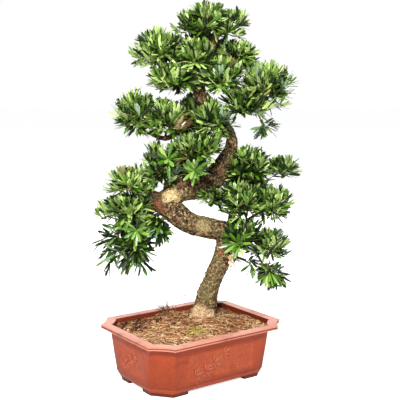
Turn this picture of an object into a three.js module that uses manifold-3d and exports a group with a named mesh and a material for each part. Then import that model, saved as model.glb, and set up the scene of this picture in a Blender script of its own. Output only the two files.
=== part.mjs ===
// A podocarpus bonsai in its planter: the filled pot, a zigzag trunk, its boughs and its masses of
// leaves. Millimetres, +Z up, standing on z = 0 with the whole plant's box centred on X and Y.
// The pot's long sides run along X. The tree is laid out in a frame of its own, turned against the
// pot: u to its right, v away from its front, w up from the level of the soil.
import * as THREE from "three";
import { mergeVertices } from "three/addons/utils/BufferGeometryUtils.js";
import Module from "manifold-3d";

const wasm = await Module();
wasm.setup();

const GAP = 0.3; // between two pieces that touch

// The planter: an eight-sided bowl with a broad rim, straight sloping walls and four corner feet.
const POT = {
  length: 400,
  width: 320,
  height: 138,
  rimWidth: 24,
  rimUnderside: 128.7,
  // The rim's edge, from its underside up: inset, and share of the edge's height. Two bands with a
  // groove between them.
  rimEdge: [[3, 0], [0.4, 0.1], [0.4, 0.36], [3, 0.44], [3, 0.6], [0, 0.7], [0, 0.88], [1.4, 1]],
  rimCorner: { x: 45, y: 47, shrink: 0.5, dip: 2.5 },
  lip: { depth: 7, round: 1 },
  // The walls lean in towards the foot: insets of the ends and the long sides, and the corners' cuts.
  wallTop: { endInset: 18, sideInset: 21, cutX: 42, cutY: 46 },
  wallFoot: { endInset: 24, sideInset: 36, cutX: 44, cutY: 51 },
  wall: 5.5,
  cutShrink: 0.8, // how much a corner's cut shrinks for each millimetre further in
  ledge: { z: 24.5, step: 2.3, groove: 1.5, height: 4 },
  underside: { z: 9, step: 8 },
  floor: 14,
};
const PANEL = { margin: 10, low: 40, high: 115, depth: 0.9 };
const FOOT = { run: 80, width: 19, step: 9, lean: 1.5, sunk: 1.5 };
const SOIL = { edge: 126.5, crown: 137.7, patch: 44, rings: 5, clear: 0.6, lump: 1.6, wave: [0.071, 0.083] };

// The tree's frame: its origin and its turn against the pot.
const TREE = { x: 62, y: 36, z: 136, turn: -35.6 };

// The trunk's four limbs, split where it bends. A station is [u, v, w, diameter]. The first lies
// below the soil, where the trunk is cut flat.
const TRUNK = {
  trunk_lower: [
    [1, 0, -14, 74],
    [7, 0, 16, 61],
    [15, 0, 60, 56],
    [28, 2, 97, 48],
    [50, 6, 150, 49],
    [69, 6, 221, 55],
  ],
  trunk_cross: [
    [69, 6, 221, 55],
    [25, -4, 232, 56],
    [-35, -12, 250, 57],
    [-98, -18, 300, 67],
  ],
  trunk_rise: [
    [-98, -18, 300, 67],
    [-60, -8, 330, 56],
    [-4, 4, 338, 55],
    [42, 12, 375, 61],
    [73, 17, 430, 38],
  ],
  trunk_top: [
    [73, 17, 430, 38],
    [74, 18, 468, 28],
    [17, 8, 547, 36],
    [-9, 2, 587, 35],
    [4, 0, 628, 23],
    [26, 2, 697, 19],
    [36, 4, 745, 10],
  ],
};

// Each bough starts inside the limb that carries it and tapers to its tip. Diameters, then points.
const BOUGHS = {
  high_left: { thick: [16, 8], line: [[6, 0, 632], [-32, -2, 652], [-62, -4, 668]] },
  shoulder: { thick: [13, 7], line: [[12, 0, 650], [39, 5, 668], [60, 9, 676]] },
  right_pad: { thick: [19, 9], line: [[0, 0, 612], [39, 0, 620], [72, -2, 602], [116, -6, 574]] },
  right_pad_low: { thick: [10, 7], line: [[66, -2, 605], [84, -12, 582], [93, -18, 565]] },
  right_drop: { thick: [7, 4], line: [[106, -6, 580], [136, -14, 536], [147, -17, 513]] },
  mid_left: { thick: [22, 9], line: [[17, 8, 547], [-27, -6, 510], [-92, -14, 466], [-143, -8, 482]] },
  mid_left_fork: { thick: [12, 8], line: [[-40, -9, 500], [-58, -21, 491], [-72, -26, 489]] },
  mid_low: { thick: [13, 7], line: [[-58, -6, 334], [-63, -15, 385], [-50, -37, 421]] },
  knee_back: { thick: [13, 7], line: [[-32, -2, 334], [-34, 34, 350], [-36, 44, 371]] },
  low_left_mid: { thick: [18, 10], line: [[-98, -18, 299], [-132, -18, 301], [-152, -18, 296]] },
  low_left_top: { thick: [15, 8], line: [[-98, -18, 306], [-122, -14, 325], [-138, -11, 336]] },
  low_left_drop: { thick: [16, 9], line: [[-98, -18, 294], [-136, -15, 276], [-154, -13, 249]] },
  low_left_back: { thick: [14, 8], line: [[-98, -18, 296], [-122, 14, 290], [-142, 36, 283]] },
  right_tip: { thick: [14, 7], line: [[45, 12, 378], [100, 6, 366], [150, 3, 368], [175, 1, 377]] },
  right_low: { thick: [17, 9], line: [[69, 6, 224], [88, -4, 250], [99, -15, 276]] },
  right_low_tip: { thick: [13, 8], line: [[69, 6, 216], [112, 0, 250], [143, -3, 273]] },
  right_back: { thick: [14, 8], line: [[69, 6, 221], [82, 40, 258], [93, 56, 294]] },
  right_fall: { thick: [14, 8], line: [[69, 6, 208], [102, 4, 212], [128, 3, 203]] },
  right_fall_tip: { thick: [9, 6], line: [[104, 4, 212], [134, 2, 178], [154, -1, 142]] },
};

// Each mass of leaves: its centre, its reach (level, upright), and where its stem starts: a bough's
// tip, or a point inside the trunk.
const MASSES = {
  apex: { at: [14, 5, 761], reach: [70, 45], from: "trunk_top" },
  apex_left: { at: [-39, -5, 750], reach: [42, 40], from: [26, 2, 700] },
  apex_right: { at: [76, -5, 748], reach: [45, 42], from: [29, 3, 712] },
  high_left: { at: [-112, -5, 684], reach: [73, 60], from: "high_left" },
  high_left_low: { at: [-81, -30, 617], reach: [77, 42], from: [-9, 2, 588] },
  crown_front: { at: [-16, -55, 667], reach: [51, 47], from: [16, 1, 664] },
  crown_right: { at: [45, -40, 619], reach: [52, 52], from: [4, 0, 628] },
  crown_back: { at: [-7, 65, 685], reach: [73, 57], from: [20, 1, 678] },
  shoulder: { at: [87, 15, 665], reach: [58, 46], from: "shoulder" },
  right_pad: { at: [173, -5, 595], reach: [73, 66], from: "right_pad" },
  right_pad_low: { at: [126, -25, 542], reach: [60, 38], from: "right_pad_low" },
  right_drop: { at: [155, -20, 495], reach: [35, 25], from: "right_drop" },
  mid_left_tip: { at: [-169, -5, 529], reach: [66, 66], from: "mid_left" },
  mid_left: { at: [-94, -30, 513], reach: [63, 58], from: "mid_left_fork" },
  mid_front: { at: [23, -60, 511], reach: [59, 57], from: [47, 13, 506] },
  mid_back: { at: [-33, 65, 509], reach: [79, 63], from: [32, 10, 527] },
  mid_low: { at: [-20, -60, 447], reach: [67, 35], from: "mid_low" },
  left_shelf: { at: [-111, -15, 408], reach: [58, 58], from: [-84, -14, 322] },
  knee_back: { at: [-38, 75, 403], reach: [72, 48], from: "knee_back" },
  knee_sprig: { at: [-16, -75, 386], reach: [35, 32], from: [-6, 3, 339] },
  low_left_top: { at: [-186, -5, 353], reach: [72, 44], from: "low_left_top" },
  low_left_mid: { at: [-201, -20, 283], reach: [84, 36], from: "low_left_mid" },
  low_left_drop: { at: [-193, -10, 187], reach: [91, 78], from: "low_left_drop" },
  low_left_back: { at: [-178, 75, 255], reach: [72, 70], from: "low_left_back" },
  knee_low: { at: [-116, -40, 240], reach: [38, 38], from: [-86, -17, 288] },
  right_mid: { at: [128, 20, 397], reach: [60, 52], from: [64, 16, 413] },
  right_tip: { at: [209, 0, 384], reach: [49, 36], from: "right_tip" },
  right_low_in: { at: [26, -55, 314], reach: [45, 28], from: [24, 9, 358] },
  right_low: { at: [103, -30, 313], reach: [63, 46], from: "right_low" },
  right_low_tip: { at: [181, -5, 296], reach: [62, 54], from: "right_low_tip" },
  right_back: { at: [114, 85, 335], reach: [72, 64], from: "right_back" },
  bend_front: { at: [100, -50, 218], reach: [56, 48], from: [62, 7, 199] },
  bend_drop: { at: [121, -45, 153], reach: [28, 36], from: [52, 6, 168] },
  right_fall: { at: [175, 0, 185], reach: [62, 49], from: "right_fall" },
  right_fall_tip: { at: [181, -5, 115], reach: [47, 39], from: "right_fall_tip" },
};

// How wood and leaves are made.
const WOOD = { trunkSides: 9, trunkStep: 34, boughSides: 5, boughStep: 30 };
const STEM = { thick: 10, tip: 8, sides: 4, reach: 0.85, straight: 5 };
const TWIG = { thick: 4.8, tip: 4.2, sides: 3, share: 0.42, least: 2, leaves: 5, fork: [0.75, 0.22] };
const LEAF = {
  perArea: 890,
  longest: 86,
  shortest: 24,
  width: 28,
  shortWidth: 1.25, // how much wider a short leaf is for its length
  thick: 1.5,
  belly: 0.6,
  inside: 1.6,
  sunk: 5,
};
const SPREAD = { first: 0.35, roll: [25, 65], fill: 0.985 };
const SEED = { first: 101, step: 17 };
const GOLDEN_ANGLE = Math.PI * (3 - Math.sqrt(5));

const COLOURS = {
  pot: { color: 0xb0583c, roughness: 0.42 },
  soil: { color: 0x6d4a35, roughness: 0.95 },
  bark: { color: 0x6f5a45, roughness: 0.9 },
  leaf: { color: 0x3f6b2c, roughness: 0.45 },
};

const UP = new THREE.Vector3(0, 0, 1);
const SIDEWAYS = new THREE.Vector3(0.31, 0.95, 0.06); // where the rings of every limb start
const vector = ([x, y, z]) => new THREE.Vector3(x, y, z);
const lerp = THREE.MathUtils.lerp;

// A closed solid from points and the triangles between them.
function solidFrom(points, triangles) {
  const places = new Float32Array(points.flatMap((p) => [p.x, p.y, p.z]));
  const corners = new Uint32Array(triangles.flat());
  return new wasm.Manifold(new wasm.Mesh({ numProp: 3, vertProperties: places, triVerts: corners }));
}

// A closed solid from one of three.js's own closed geometries.
function solidOf(geometry) {
  geometry.deleteAttribute("normal");
  geometry.deleteAttribute("uv");
  const merged = mergeVertices(geometry);
  const corners = new Uint32Array(merged.index.array);
  const places = merged.attributes.position.array;
  return new wasm.Manifold(new wasm.Mesh({ numProp: 3, vertProperties: places, triVerts: corners }));
}

const boxSolid = (...size) => solidOf(new THREE.BoxGeometry(...size));

// A closed solid through equal rings of points, with a flat end over the first and the last ring.
// A broad end needs a point in its middle; a small round one is a fan from its first corner.
function loft(rings, broadEnds = true) {
  const count = rings[0].length;
  const points = rings.flat();
  const triangles = [];
  for (let r = 0; r + 1 < rings.length; r++) {
    for (let i = 0; i < count; i++) {
      const a = r * count + i;
      const b = r * count + ((i + 1) % count);
      triangles.push([a, b, b + count], [a, b + count, a + count]);
    }
  }
  for (const [ring, first, outward] of [
    [rings[0], 0, false],
    [rings.at(-1), (rings.length - 1) * count, true],
  ]) {
    let hub = first;
    if (broadEnds) {
      const middle = ring.reduce((sum, p) => sum.add(p), new THREE.Vector3()).divideScalar(count);
      hub = points.push(middle) - 1;
    }
    for (let i = 0; i < count; i++) {
      const [a, b] = [first + i, first + ((i + 1) % count)];
      if (a !== hub && b !== hub) triangles.push(outward ? [hub, a, b] : [hub, b, a]);
    }
  }
  return solidFrom(points, triangles);
}

// The largest of a solid's separate bodies: loose scraps and sealed hollows are dropped.
function mainBody(solid) {
  return solid.decompose().reduce((best, body) => (body.volume() > best.volume() ? body : best));
}

function geometryOf(solid) {
  const { vertProperties, triVerts } = solid.getMesh();
  const geometry = new THREE.BufferGeometry();
  geometry.setAttribute("position", new THREE.BufferAttribute(new Float32Array(vertProperties), 3));
  geometry.setIndex(new THREE.BufferAttribute(new Uint32Array(triVerts), 1));
  geometry.computeVertexNormals();
  return geometry;
}

function meshOf(name, solid, finish) {
  const material = new THREE.MeshStandardMaterial({ ...finish, metalness: 0, flatShading: true });
  const mesh = new THREE.Mesh(geometryOf(solid), material);
  mesh.name = name;
  return mesh;
}

// One level ring of the pot: a rectangle with its corners cut, each cut hollowed a little.
function potRing([endInset, sideInset], z, cutX, cutY, dip = 0) {
  const x = POT.length / 2 - endInset;
  const y = POT.width / 2 - sideInset;
  const slant = Math.hypot(cutX, cutY);
  const hollow = [x - cutX / 2 - (dip * cutY) / slant, y - cutY / 2 - (dip * cutX) / slant];
  const quarter = [[x, y - cutY], hollow, [x - cutX, y]];
  const ring = [];
  for (const [sx, sy] of [[1, 1], [-1, 1], [-1, -1], [1, -1]]) {
    const corner = quarter.map(([px, py]) => new THREE.Vector3(sx * px, sy * py, z));
    ring.push(...(sx * sy > 0 ? corner : corner.reverse()));
  }
  return ring;
}

function rimRing(inset, z) {
  const { x, y, shrink, dip } = POT.rimCorner;
  return potRing([inset, inset], z, x - shrink * inset, y - shrink * inset, dip);
}

// The wall's insets and cuts at one level.
function wallAt(z) {
  const share = (POT.rimUnderside - z) / (POT.rimUnderside - POT.ledge.z);
  const at = (key) => lerp(POT.wallTop[key], POT.wallFoot[key], share);
  return { endInset: at("endInset"), sideInset: at("sideInset"), cutX: at("cutX"), cutY: at("cutY") };
}

// A level ring of the wall, or one parallel to it and further in.
function wallRing(z, inward = 0) {
  const { endInset, sideInset, cutX, cutY } = wallAt(z);
  const less = POT.cutShrink * inward;
  return potRing([endInset + inward, sideInset + inward], z, cutX - less, cutY - less);
}

function potBowl() {
  const { height, rimUnderside, rimWidth, rimEdge, wall, ledge, lip, underside, floor } = POT;
  return loft([
    wallRing(underside.z, underside.step),
    wallRing(ledge.z - ledge.height, ledge.step),
    wallRing(ledge.z - ledge.groove, ledge.step),
    wallRing(ledge.z),
    wallRing(rimUnderside),
    ...rimEdge.map(([inset, share]) => rimRing(inset, lerp(rimUnderside, height, share))),
    rimRing(rimWidth, height),
    rimRing(rimWidth + lip.round, height - lip.round),
    wallRing(height - lip.depth, wall),
    wallRing(floor, wall),
  ]);
}

// The four feet: a plinth under the walls, opened in the middle of each side.
function potFeet() {
  const top = POT.underside.z + FOOT.sunk;
  const plinth = loft([wallRing(0, FOOT.step), wallRing(top, FOOT.step - FOOT.lean)]);
  const hollow = loft([wallRing(-top, FOOT.step + FOOT.width), wallRing(2 * top, FOOT.step + FOOT.width)]);
  const { endInset, sideInset } = wallAt(0);
  const [openX, openY] = [endInset, sideInset].map((inset) => 2 * (inset + FOOT.step + FOOT.run));
  return plinth
    .subtract(hollow)
    .subtract(boxSolid(POT.length - openX, POT.width, 3 * top))
    .subtract(boxSolid(POT.length, POT.width - openY, 3 * top));
}

// The shallow panel sunk into each wall, cut along the wall's slope.
function wallPanels() {
  const middle = (PANEL.low + PANEL.high) / 2;
  const drop = POT.rimUnderside - POT.ledge.z;
  const { endInset, sideInset } = wallAt(middle);
  const { endInset: topEnd, sideInset: topSide } = POT.wallTop;
  const { endInset: footEnd, sideInset: footSide, cutX, cutY } = POT.wallFoot;
  const cutters = [];
  for (const [along, across, inset, slope, turn] of [
    [POT.length - 2 * (footEnd + cutX), POT.width, sideInset, (footSide - topSide) / drop, 0],
    [POT.width - 2 * (footSide + cutY), POT.length, endInset, (footEnd - topEnd) / drop, Math.PI / 2],
  ]) {
    const lean = Math.atan(slope);
    const tall = (PANEL.high - PANEL.low) / Math.cos(lean);
    for (const side of [0, Math.PI]) {
      const box = new THREE.BoxGeometry(along - 2 * PANEL.margin, 2 * PANEL.depth, tall).rotateX(lean);
      box.translate(0, inset - across / 2, middle).rotateZ(turn + side);
      cutters.push(solidOf(box));
    }
  }
  return wasm.Manifold.union(cutters);
}

const makePot = () => potBowl().add(potFeet()).subtract(wallPanels());

// The soil fills the pot and rises in a low mound to the flat patch under the trunk.
function makeSoil(foot) {
  const [waveX, waveY] = SOIL.wave;
  const side = (z) => wallRing(z, POT.wall + SOIL.clear);
  const edge = side(SOIL.edge);
  const rings = [side(POT.floor + GAP), edge];
  for (let r = 1; r <= SOIL.rings; r++) {
    const share = r / SOIL.rings;
    const rise = THREE.MathUtils.smoothstep(share, 0, 1);
    rings.push(
      edge.map((p) => {
        const patch = p.clone().sub(foot).setZ(0).setLength(SOIL.patch).add(foot);
        const point = p.clone().lerp(patch, share);
        const lump = SOIL.lump * Math.sin(waveX * point.x) * Math.cos(waveY * point.y);
        return point.setZ(lerp(SOIL.edge, SOIL.crown, rise) + lump * Math.sin(Math.PI * share));
      }),
    );
  }
  return loft(rings);
}

// Points and diameters along a limb, on a smooth curve through its stations.
function limbRun(stations, step) {
  const curve = new THREE.CatmullRomCurve3(stations.map(vector), false, "centripetal");
  const spans = stations.length - 1;
  const count = Math.max(spans, Math.round(curve.getLength() / step));
  const run = [];
  for (let i = 0; i <= count; i++) {
    const t = i / count;
    const span = Math.min(Math.floor(t * spans), spans - 1);
    const diameter = lerp(stations[span][3], stations[span + 1][3], t * spans - span);
    run.push({ point: curve.getPoint(t), radius: diameter / 2 });
  }
  return run;
}

// A tapering limb with flat ends: rings square to the run, carried along it without twist.
function limbSolid(run, sides, grow = 0) {
  const along = run.map((_, i) => {
    const [before, after] = [run[Math.max(i - 1, 0)], run[Math.min(i + 1, run.length - 1)]];
    return after.point.clone().sub(before.point).normalize();
  });
  const across = SIDEWAYS.clone();
  const rings = run.map(({ point, radius }, i) => {
    across.addScaledVector(along[i], -across.dot(along[i])).normalize();
    const third = along[i].clone().cross(across);
    return Array.from({ length: sides }, (_, k) => {
      const angle = (2 * Math.PI * k) / sides;
      const spoke = across.clone().multiplyScalar(Math.cos(angle)).addScaledVector(third, Math.sin(angle));
      return point.clone().addScaledVector(spoke, radius + grow);
    });
  });
  return loft(rings, false);
}

function ball({ point, radius }, grow = 0) {
  const sphere = new THREE.IcosahedronGeometry(radius + grow, 1);
  return solidOf(sphere.translate(point.x, point.y, point.z));
}

// All of the space on one side of a plane that matters to the tree.
function halfSpace(point, normal) {
  const size = 4000;
  const box = new THREE.BoxGeometry(size, size, size).translate(0, 0, size / 2);
  const turn = new THREE.Quaternion().setFromUnitVectors(UP, normal);
  return solidOf(box.applyQuaternion(turn).translate(point.x, point.y, point.z));
}

// The trunk's limbs meet at rounded bends, each cut along the plane that halves the bend. The first
// stands on the soil on a flat cut.
function makeTrunk() {
  const ground = new THREE.Vector3(0, 0, SOIL.crown + GAP - TREE.z);
  const names = Object.keys(TRUNK);
  const runs = names.map((name) => limbRun(TRUNK[name], WOOD.trunkStep));
  const heading = (run, i) => run[i + 1].point.clone().sub(run[i].point).normalize();
  return names.map((name, n) => {
    const run = runs[n];
    let solid = limbSolid(run, WOOD.trunkSides);
    if (n > 0) {
      const bend = heading(runs[n - 1], runs[n - 1].length - 2).add(heading(run, 0)).normalize();
      const start = run[0].point.clone().addScaledVector(bend, GAP / 2);
      solid = solid.add(ball(run[0])).subtract(halfSpace(start, bend.clone().negate()));
    } else {
      solid = solid.subtract(halfSpace(ground, UP.clone().negate()));
    }
    if (n + 1 < names.length) {
      const bend = heading(run, run.length - 2).add(heading(runs[n + 1], 0)).normalize();
      const end = run.at(-1).point.clone().addScaledVector(bend, -GAP / 2);
      solid = solid.add(ball(run.at(-1))).subtract(halfSpace(end, bend));
    }
    const limb = { name, run, solid, sides: WOOD.trunkSides };
    return { ...limb, room: keepOut(limb, GAP) };
  });
}

// A limb grown outwards all round, with round ends: what its neighbours keep clear of.
function keepOut(limb, grow) {
  const { run, sides } = limb;
  return wasm.Manifold.union([limbSolid(run, sides, grow), ball(run[0], grow), ball(run.at(-1), grow)]);
}

// Each bough is cut back from the limbs made before it, so it sits on the one that carries it.
function makeBoughs(trunk) {
  const limbs = [...trunk];
  for (const [name, { thick, line }] of Object.entries(BOUGHS)) {
    const stations = line.map((p, i) => [...p, lerp(thick[0], thick[1], i / (line.length - 1))]);
    const bough = { name: `bough_${name}`, run: limbRun(stations, WOOD.boughStep), sides: WOOD.boughSides };
    const taken = wasm.Manifold.union(limbs.map((limb) => limb.room));
    bough.solid = mainBody(limbSolid(bough.run, bough.sides).subtract(taken));
    bough.room = keepOut(bough, GAP);
    limbs.push(bough);
  }
  return limbs.slice(trunk.length);
}

// A seeded stream of numbers from 0 to 1.
function seeded(seed) {
  let state = seed;
  return () => {
    state = (state + 0x6d2b79f5) | 0;
    let t = Math.imul(state ^ (state >>> 15), 1 | state);
    t = (t + Math.imul(t ^ (t >>> 7), 61 | t)) ^ t;
    return ((t ^ (t >>> 14)) >>> 0) / 4294967296;
  };
}

// A mass's space: its own rounded reach, cut by a plane halfway to each of its neighbours.
class Space {
  constructor(mass, others) {
    this.centre = vector(mass.at);
    this.reach = new THREE.Vector3(mass.reach[0], mass.reach[0], mass.reach[1]);
    this.walls = others.map((other) => {
      const normal = vector(other.at).sub(this.centre);
      const apart = normal.length();
      normal.normalize();
      const mine = Space.extent(mass, normal);
      const theirs = Space.extent(other, normal);
      return { normal, limit: (apart * mine) / (mine + theirs) - GAP };
    });
  }

  // How far a mass reaches from its centre in one direction.
  static extent({ reach: [level, upright] }, direction) {
    return 1 / Math.hypot(direction.x / level, direction.y / level, direction.z / upright);
  }

  holds(point) {
    const out = point.clone().sub(this.centre);
    const within = out.clone().divide(this.reach).length() <= 1;
    return within && this.walls.every(({ normal, limit }) => normal.dot(out) < limit);
  }

  // The distance from a point inside, along a direction, to the edge of the space.
  room(point, direction) {
    const p = point.clone().sub(this.centre).divide(this.reach);
    const d = direction.clone().divide(this.reach);
    const [a, b, c] = [d.dot(d), p.dot(d), p.dot(p) - 1];
    let far = c > 0 ? 0 : (-b + Math.sqrt(b * b - a * c)) / a;
    const out = point.clone().sub(this.centre);
    for (const { normal, limit } of this.walls) {
      const speed = normal.dot(direction);
      if (speed > 0) far = Math.min(far, (limit - normal.dot(out)) / speed);
    }
    return far;
  }
}

// The stem of a mass runs from its bough's tip, or from inside the trunk, to near its centre.
function stemRun(mass, limbs) {
  const centre = vector(mass.at);
  let start;
  if (typeof mass.from === "string") {
    const bough = limbs.find((limb) => [mass.from, `bough_${mass.from}`].includes(limb.name));
    const [last, end] = bough.run.slice(-2);
    const ahead = end.point.clone().sub(last.point).normalize();
    const radius = Math.min(end.radius, STEM.thick / 2);
    start = { point: end.point.clone().addScaledVector(ahead, GAP), radius };
    const knee = start.point.clone().addScaledVector(ahead, STEM.straight);
    const tip = knee.clone().lerp(centre, STEM.reach);
    return [start, { point: knee, radius }, { point: tip, radius: STEM.tip / 2 }];
  }
  start = { point: vector(mass.from), radius: STEM.thick / 2 };
  return [start, { point: start.point.clone().lerp(centre, STEM.reach), radius: STEM.tip / 2 }];
}

// A leaf is a flat blade of eight faces, pointed at both ends, its root sunk into the twig.
function leafBlade(root, along, upper, length) {
  const side = along.clone().cross(upper).normalize();
  const face = side.clone().cross(along);
  const belly = root.clone().addScaledVector(along, LEAF.belly * length);
  const width = LEAF.width * Math.min(1, (LEAF.shortWidth * length) / LEAF.longest);
  const points = [
    root,
    root.clone().addScaledVector(along, length),
    belly.clone().addScaledVector(side, width / 2),
    belly.clone().addScaledVector(face, LEAF.thick / 2),
    belly.clone().addScaledVector(side, -width / 2),
    belly.clone().addScaledVector(face, -LEAF.thick / 2),
  ];
  const triangles = [];
  for (let k = 0; k < 4; k++) {
    const [a, b] = [2 + k, 2 + ((k + 1) % 4)];
    triangles.push([0, a, b], [1, b, a]);
  }
  return { points, triangles, length };
}

// Directions dealt evenly to all sides, turned by a seeded angle.
function evenDirections(count, turn) {
  return Array.from({ length: count }, (_, k) => {
    const level = 1 - (2 * (k + 0.5)) / count;
    const round = Math.sqrt(1 - level * level);
    const angle = turn + k * GOLDEN_ANGLE;
    return new THREE.Vector3(round * Math.cos(angle), round * Math.sin(angle), level);
  });
}

// One leaf from a place on a twig towards its own goal at the edge of the space.
function leafTowards(goal, twig, share, space, draw) {
  const root = twig.fork.clone().lerp(twig.tip, share);
  const heading = goal.clone().sub(root).normalize();
  const slant = Math.max(heading.clone().cross(twig.along).length(), LEAF.inside / LEAF.sunk);
  root.addScaledVector(heading, -LEAF.inside / slant);
  const length = Math.min(LEAF.longest, SPREAD.fill * space.room(root, heading));
  const roll = THREE.MathUtils.degToRad(draw() < 0.5 ? -1 : 1) * lerp(...SPREAD.roll, draw());
  return leafBlade(root, heading, UP.clone().applyAxisAngle(heading, roll), length);
}

// A mass: its stem, its twigs and its leaves, both dealt evenly to all sides. Each leaf grows on the
// twig that points nearest to its goal, the best pointed one from the twig's tip and the others
// behind it. A twig or leaf that would leave the space or touch a limb is left out.
function makeMass(name, mass, stem, space, taken, seed) {
  const draw = seeded(seed);
  const clear = (solid) => solid.intersect(taken).isEmpty();
  const [start, end] = [stem[0].point, stem.at(-1).point];
  const ahead = end.clone().sub(start).normalize();
  const stemSolid = limbSolid(stem, STEM.sides);
  const pieces = [typeof mass.from === "string" ? stemSolid : mainBody(stemSolid.subtract(taken))];
  const [level, upright] = mass.reach;
  const leafCount = Math.round((level * (level + 2 * upright)) / LEAF.perArea);
  const twigCount = Math.max(TWIG.least, Math.round(leafCount / TWIG.leaves));
  const turn = 2 * Math.PI * draw();
  const twigs = evenDirections(twigCount, turn).map((way) => {
    const fork = start.clone().lerp(end, TWIG.fork[0] + TWIG.fork[1] * way.dot(ahead));
    const along = way.clone().multiply(space.reach).add(space.centre).sub(fork).normalize();
    const tip = fork.clone().addScaledVector(along, TWIG.share * space.room(fork, along));
    return { way, fork, along, tip, goals: [] };
  });
  for (const way of evenDirections(leafCount, turn + 1)) {
    const nearest = twigs.reduce((best, twig) => (twig.way.dot(way) > best.way.dot(way) ? twig : best));
    nearest.goals.push(way);
  }
  for (const twig of twigs) {
    const run = [
      { point: twig.fork, radius: TWIG.thick / 2 },
      { point: twig.tip, radius: TWIG.tip / 2 },
    ];
    const wood = limbSolid(run, TWIG.sides);
    if (!space.holds(twig.tip) || !clear(wood)) continue;
    pieces.push(wood);
    twig.goals.sort((a, b) => b.dot(twig.way) - a.dot(twig.way));
    twig.goals.forEach((way, k) => {
      const goal = way.clone().multiply(space.reach).add(space.centre);
      const share = lerp(1, SPREAD.first, k / twig.goals.length);
      const leaf = leafTowards(goal, twig, share, space, draw);
      if (leaf.length < LEAF.shortest || !leaf.points.every((p) => space.holds(p))) return;
      const solid = solidFrom(leaf.points, leaf.triangles);
      if (clear(solid)) pieces.push(solid);
    });
  }
  return { name: `leaves_${name}`, solid: mainBody(wasm.Manifold.union(pieces)) };
}

function makeMasses(limbs) {
  const entries = Object.entries(MASSES);
  const stems = entries.map(([, mass]) => stemRun(mass, limbs));
  const stemRooms = stems.map((run) => keepOut({ run, sides: STEM.sides }, GAP));
  const wood = wasm.Manifold.union(limbs.map((limb) => limb.room));
  return entries.map(([name, mass], n) => {
    const others = entries.filter((_, i) => i !== n).map(([, other]) => other);
    const otherStems = wasm.Manifold.union(stemRooms.filter((_, i) => i !== n));
    const seed = SEED.first + SEED.step * n;
    return makeMass(name, mass, stems[n], new Space(mass, others), wood.add(otherStems), seed);
  });
}

function makeTree() {
  const tree = new THREE.Group();
  tree.position.set(TREE.x, TREE.y, TREE.z);
  tree.rotation.z = THREE.MathUtils.degToRad(TREE.turn);
  const trunk = makeTrunk();
  const limbs = [...trunk, ...makeBoughs(trunk)];
  for (const { name, solid } of limbs) tree.add(meshOf(name, solid, COLOURS.bark));
  for (const { name, solid } of makeMasses(limbs)) tree.add(meshOf(name, solid, COLOURS.leaf));
  return tree;
}

function makePlant() {
  const plant = new THREE.Group();
  const tree = makeTree();
  tree.updateMatrixWorld(true);
  const foot = vector(TRUNK.trunk_lower[0]).applyMatrix4(tree.matrixWorld);
  plant.add(meshOf("pot", makePot(), COLOURS.pot));
  plant.add(meshOf("soil", makeSoil(foot), COLOURS.soil));
  plant.add(tree);
  const middle = new THREE.Box3().setFromObject(plant, true).getCenter(new THREE.Vector3());
  plant.position.set(-middle.x, -middle.y, 0);
  return plant;
}

export default makePlant();
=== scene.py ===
import math

import bmesh
import bpy
import numpy as np
from mathutils import Matrix, Vector, noise
from mathutils.kdtree import KDTree


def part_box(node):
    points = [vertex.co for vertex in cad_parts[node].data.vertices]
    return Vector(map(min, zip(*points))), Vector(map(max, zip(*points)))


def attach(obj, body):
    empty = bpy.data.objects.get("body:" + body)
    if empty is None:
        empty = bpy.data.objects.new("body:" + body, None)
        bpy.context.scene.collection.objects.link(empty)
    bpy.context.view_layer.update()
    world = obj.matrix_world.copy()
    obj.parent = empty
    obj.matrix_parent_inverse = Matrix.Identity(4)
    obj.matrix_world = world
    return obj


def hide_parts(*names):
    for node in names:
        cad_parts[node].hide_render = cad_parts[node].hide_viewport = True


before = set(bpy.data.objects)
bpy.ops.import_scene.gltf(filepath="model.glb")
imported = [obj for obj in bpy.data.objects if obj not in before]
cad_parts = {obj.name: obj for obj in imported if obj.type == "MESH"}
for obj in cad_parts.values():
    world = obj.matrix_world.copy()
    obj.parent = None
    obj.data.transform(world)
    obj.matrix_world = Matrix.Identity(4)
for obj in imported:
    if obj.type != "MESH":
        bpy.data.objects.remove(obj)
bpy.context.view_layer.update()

mm = 0.001
potLow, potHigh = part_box("pot")
potMiddle = Vector(((potLow.x + potHigh.x) / 2, (potLow.y + potHigh.y) / 2, 0))
nodeNames = sorted(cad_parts)


def clearPick():
    if bpy.context.object and bpy.context.object.mode == "EDIT":
        bpy.ops.object.mode_set(mode="OBJECT")
    bpy.ops.object.select_all(action="DESELECT")


def pick(*pieces):
    clearPick()
    for piece in pieces:
        piece.select_set(True)
    bpy.context.view_layer.objects.active = pieces[0]


def applyModifiers(piece):
    pick(piece)
    for modifier in list(piece.modifiers):
        bpy.ops.object.modifier_apply(modifier=modifier.name)


def smoothTo(piece, degrees):
    pick(piece)
    bpy.ops.object.shade_smooth_by_angle(angle=math.radians(degrees))


def joinPieces(pieces, name):
    pick(*pieces)
    bpy.ops.object.join()
    joined = bpy.context.object
    joined.name = joined.data.name = name
    return joined


def linkPiece(name, data):
    piece = bpy.data.objects.new(name, data)
    bpy.context.scene.collection.objects.link(piece)
    return piece


def meshPiece(name, points, faces):
    mesh = bpy.data.meshes.new(name)
    mesh.from_pydata([tuple(p) for p in points], [], [tuple(f) for f in faces])
    mesh.update()
    return linkPiece(name, mesh)


def dress(piece, *materials):
    for material in materials:
        piece.data.materials.append(material)


def finishPiece(piece, nodes=()):
    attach(piece, "root")
    if nodes:
        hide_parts(*nodes)
    mesh = piece.data
    print(f"  {piece.name}: {sum(len(p.vertices) - 2 for p in mesh.polygons)} triangles")


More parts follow.
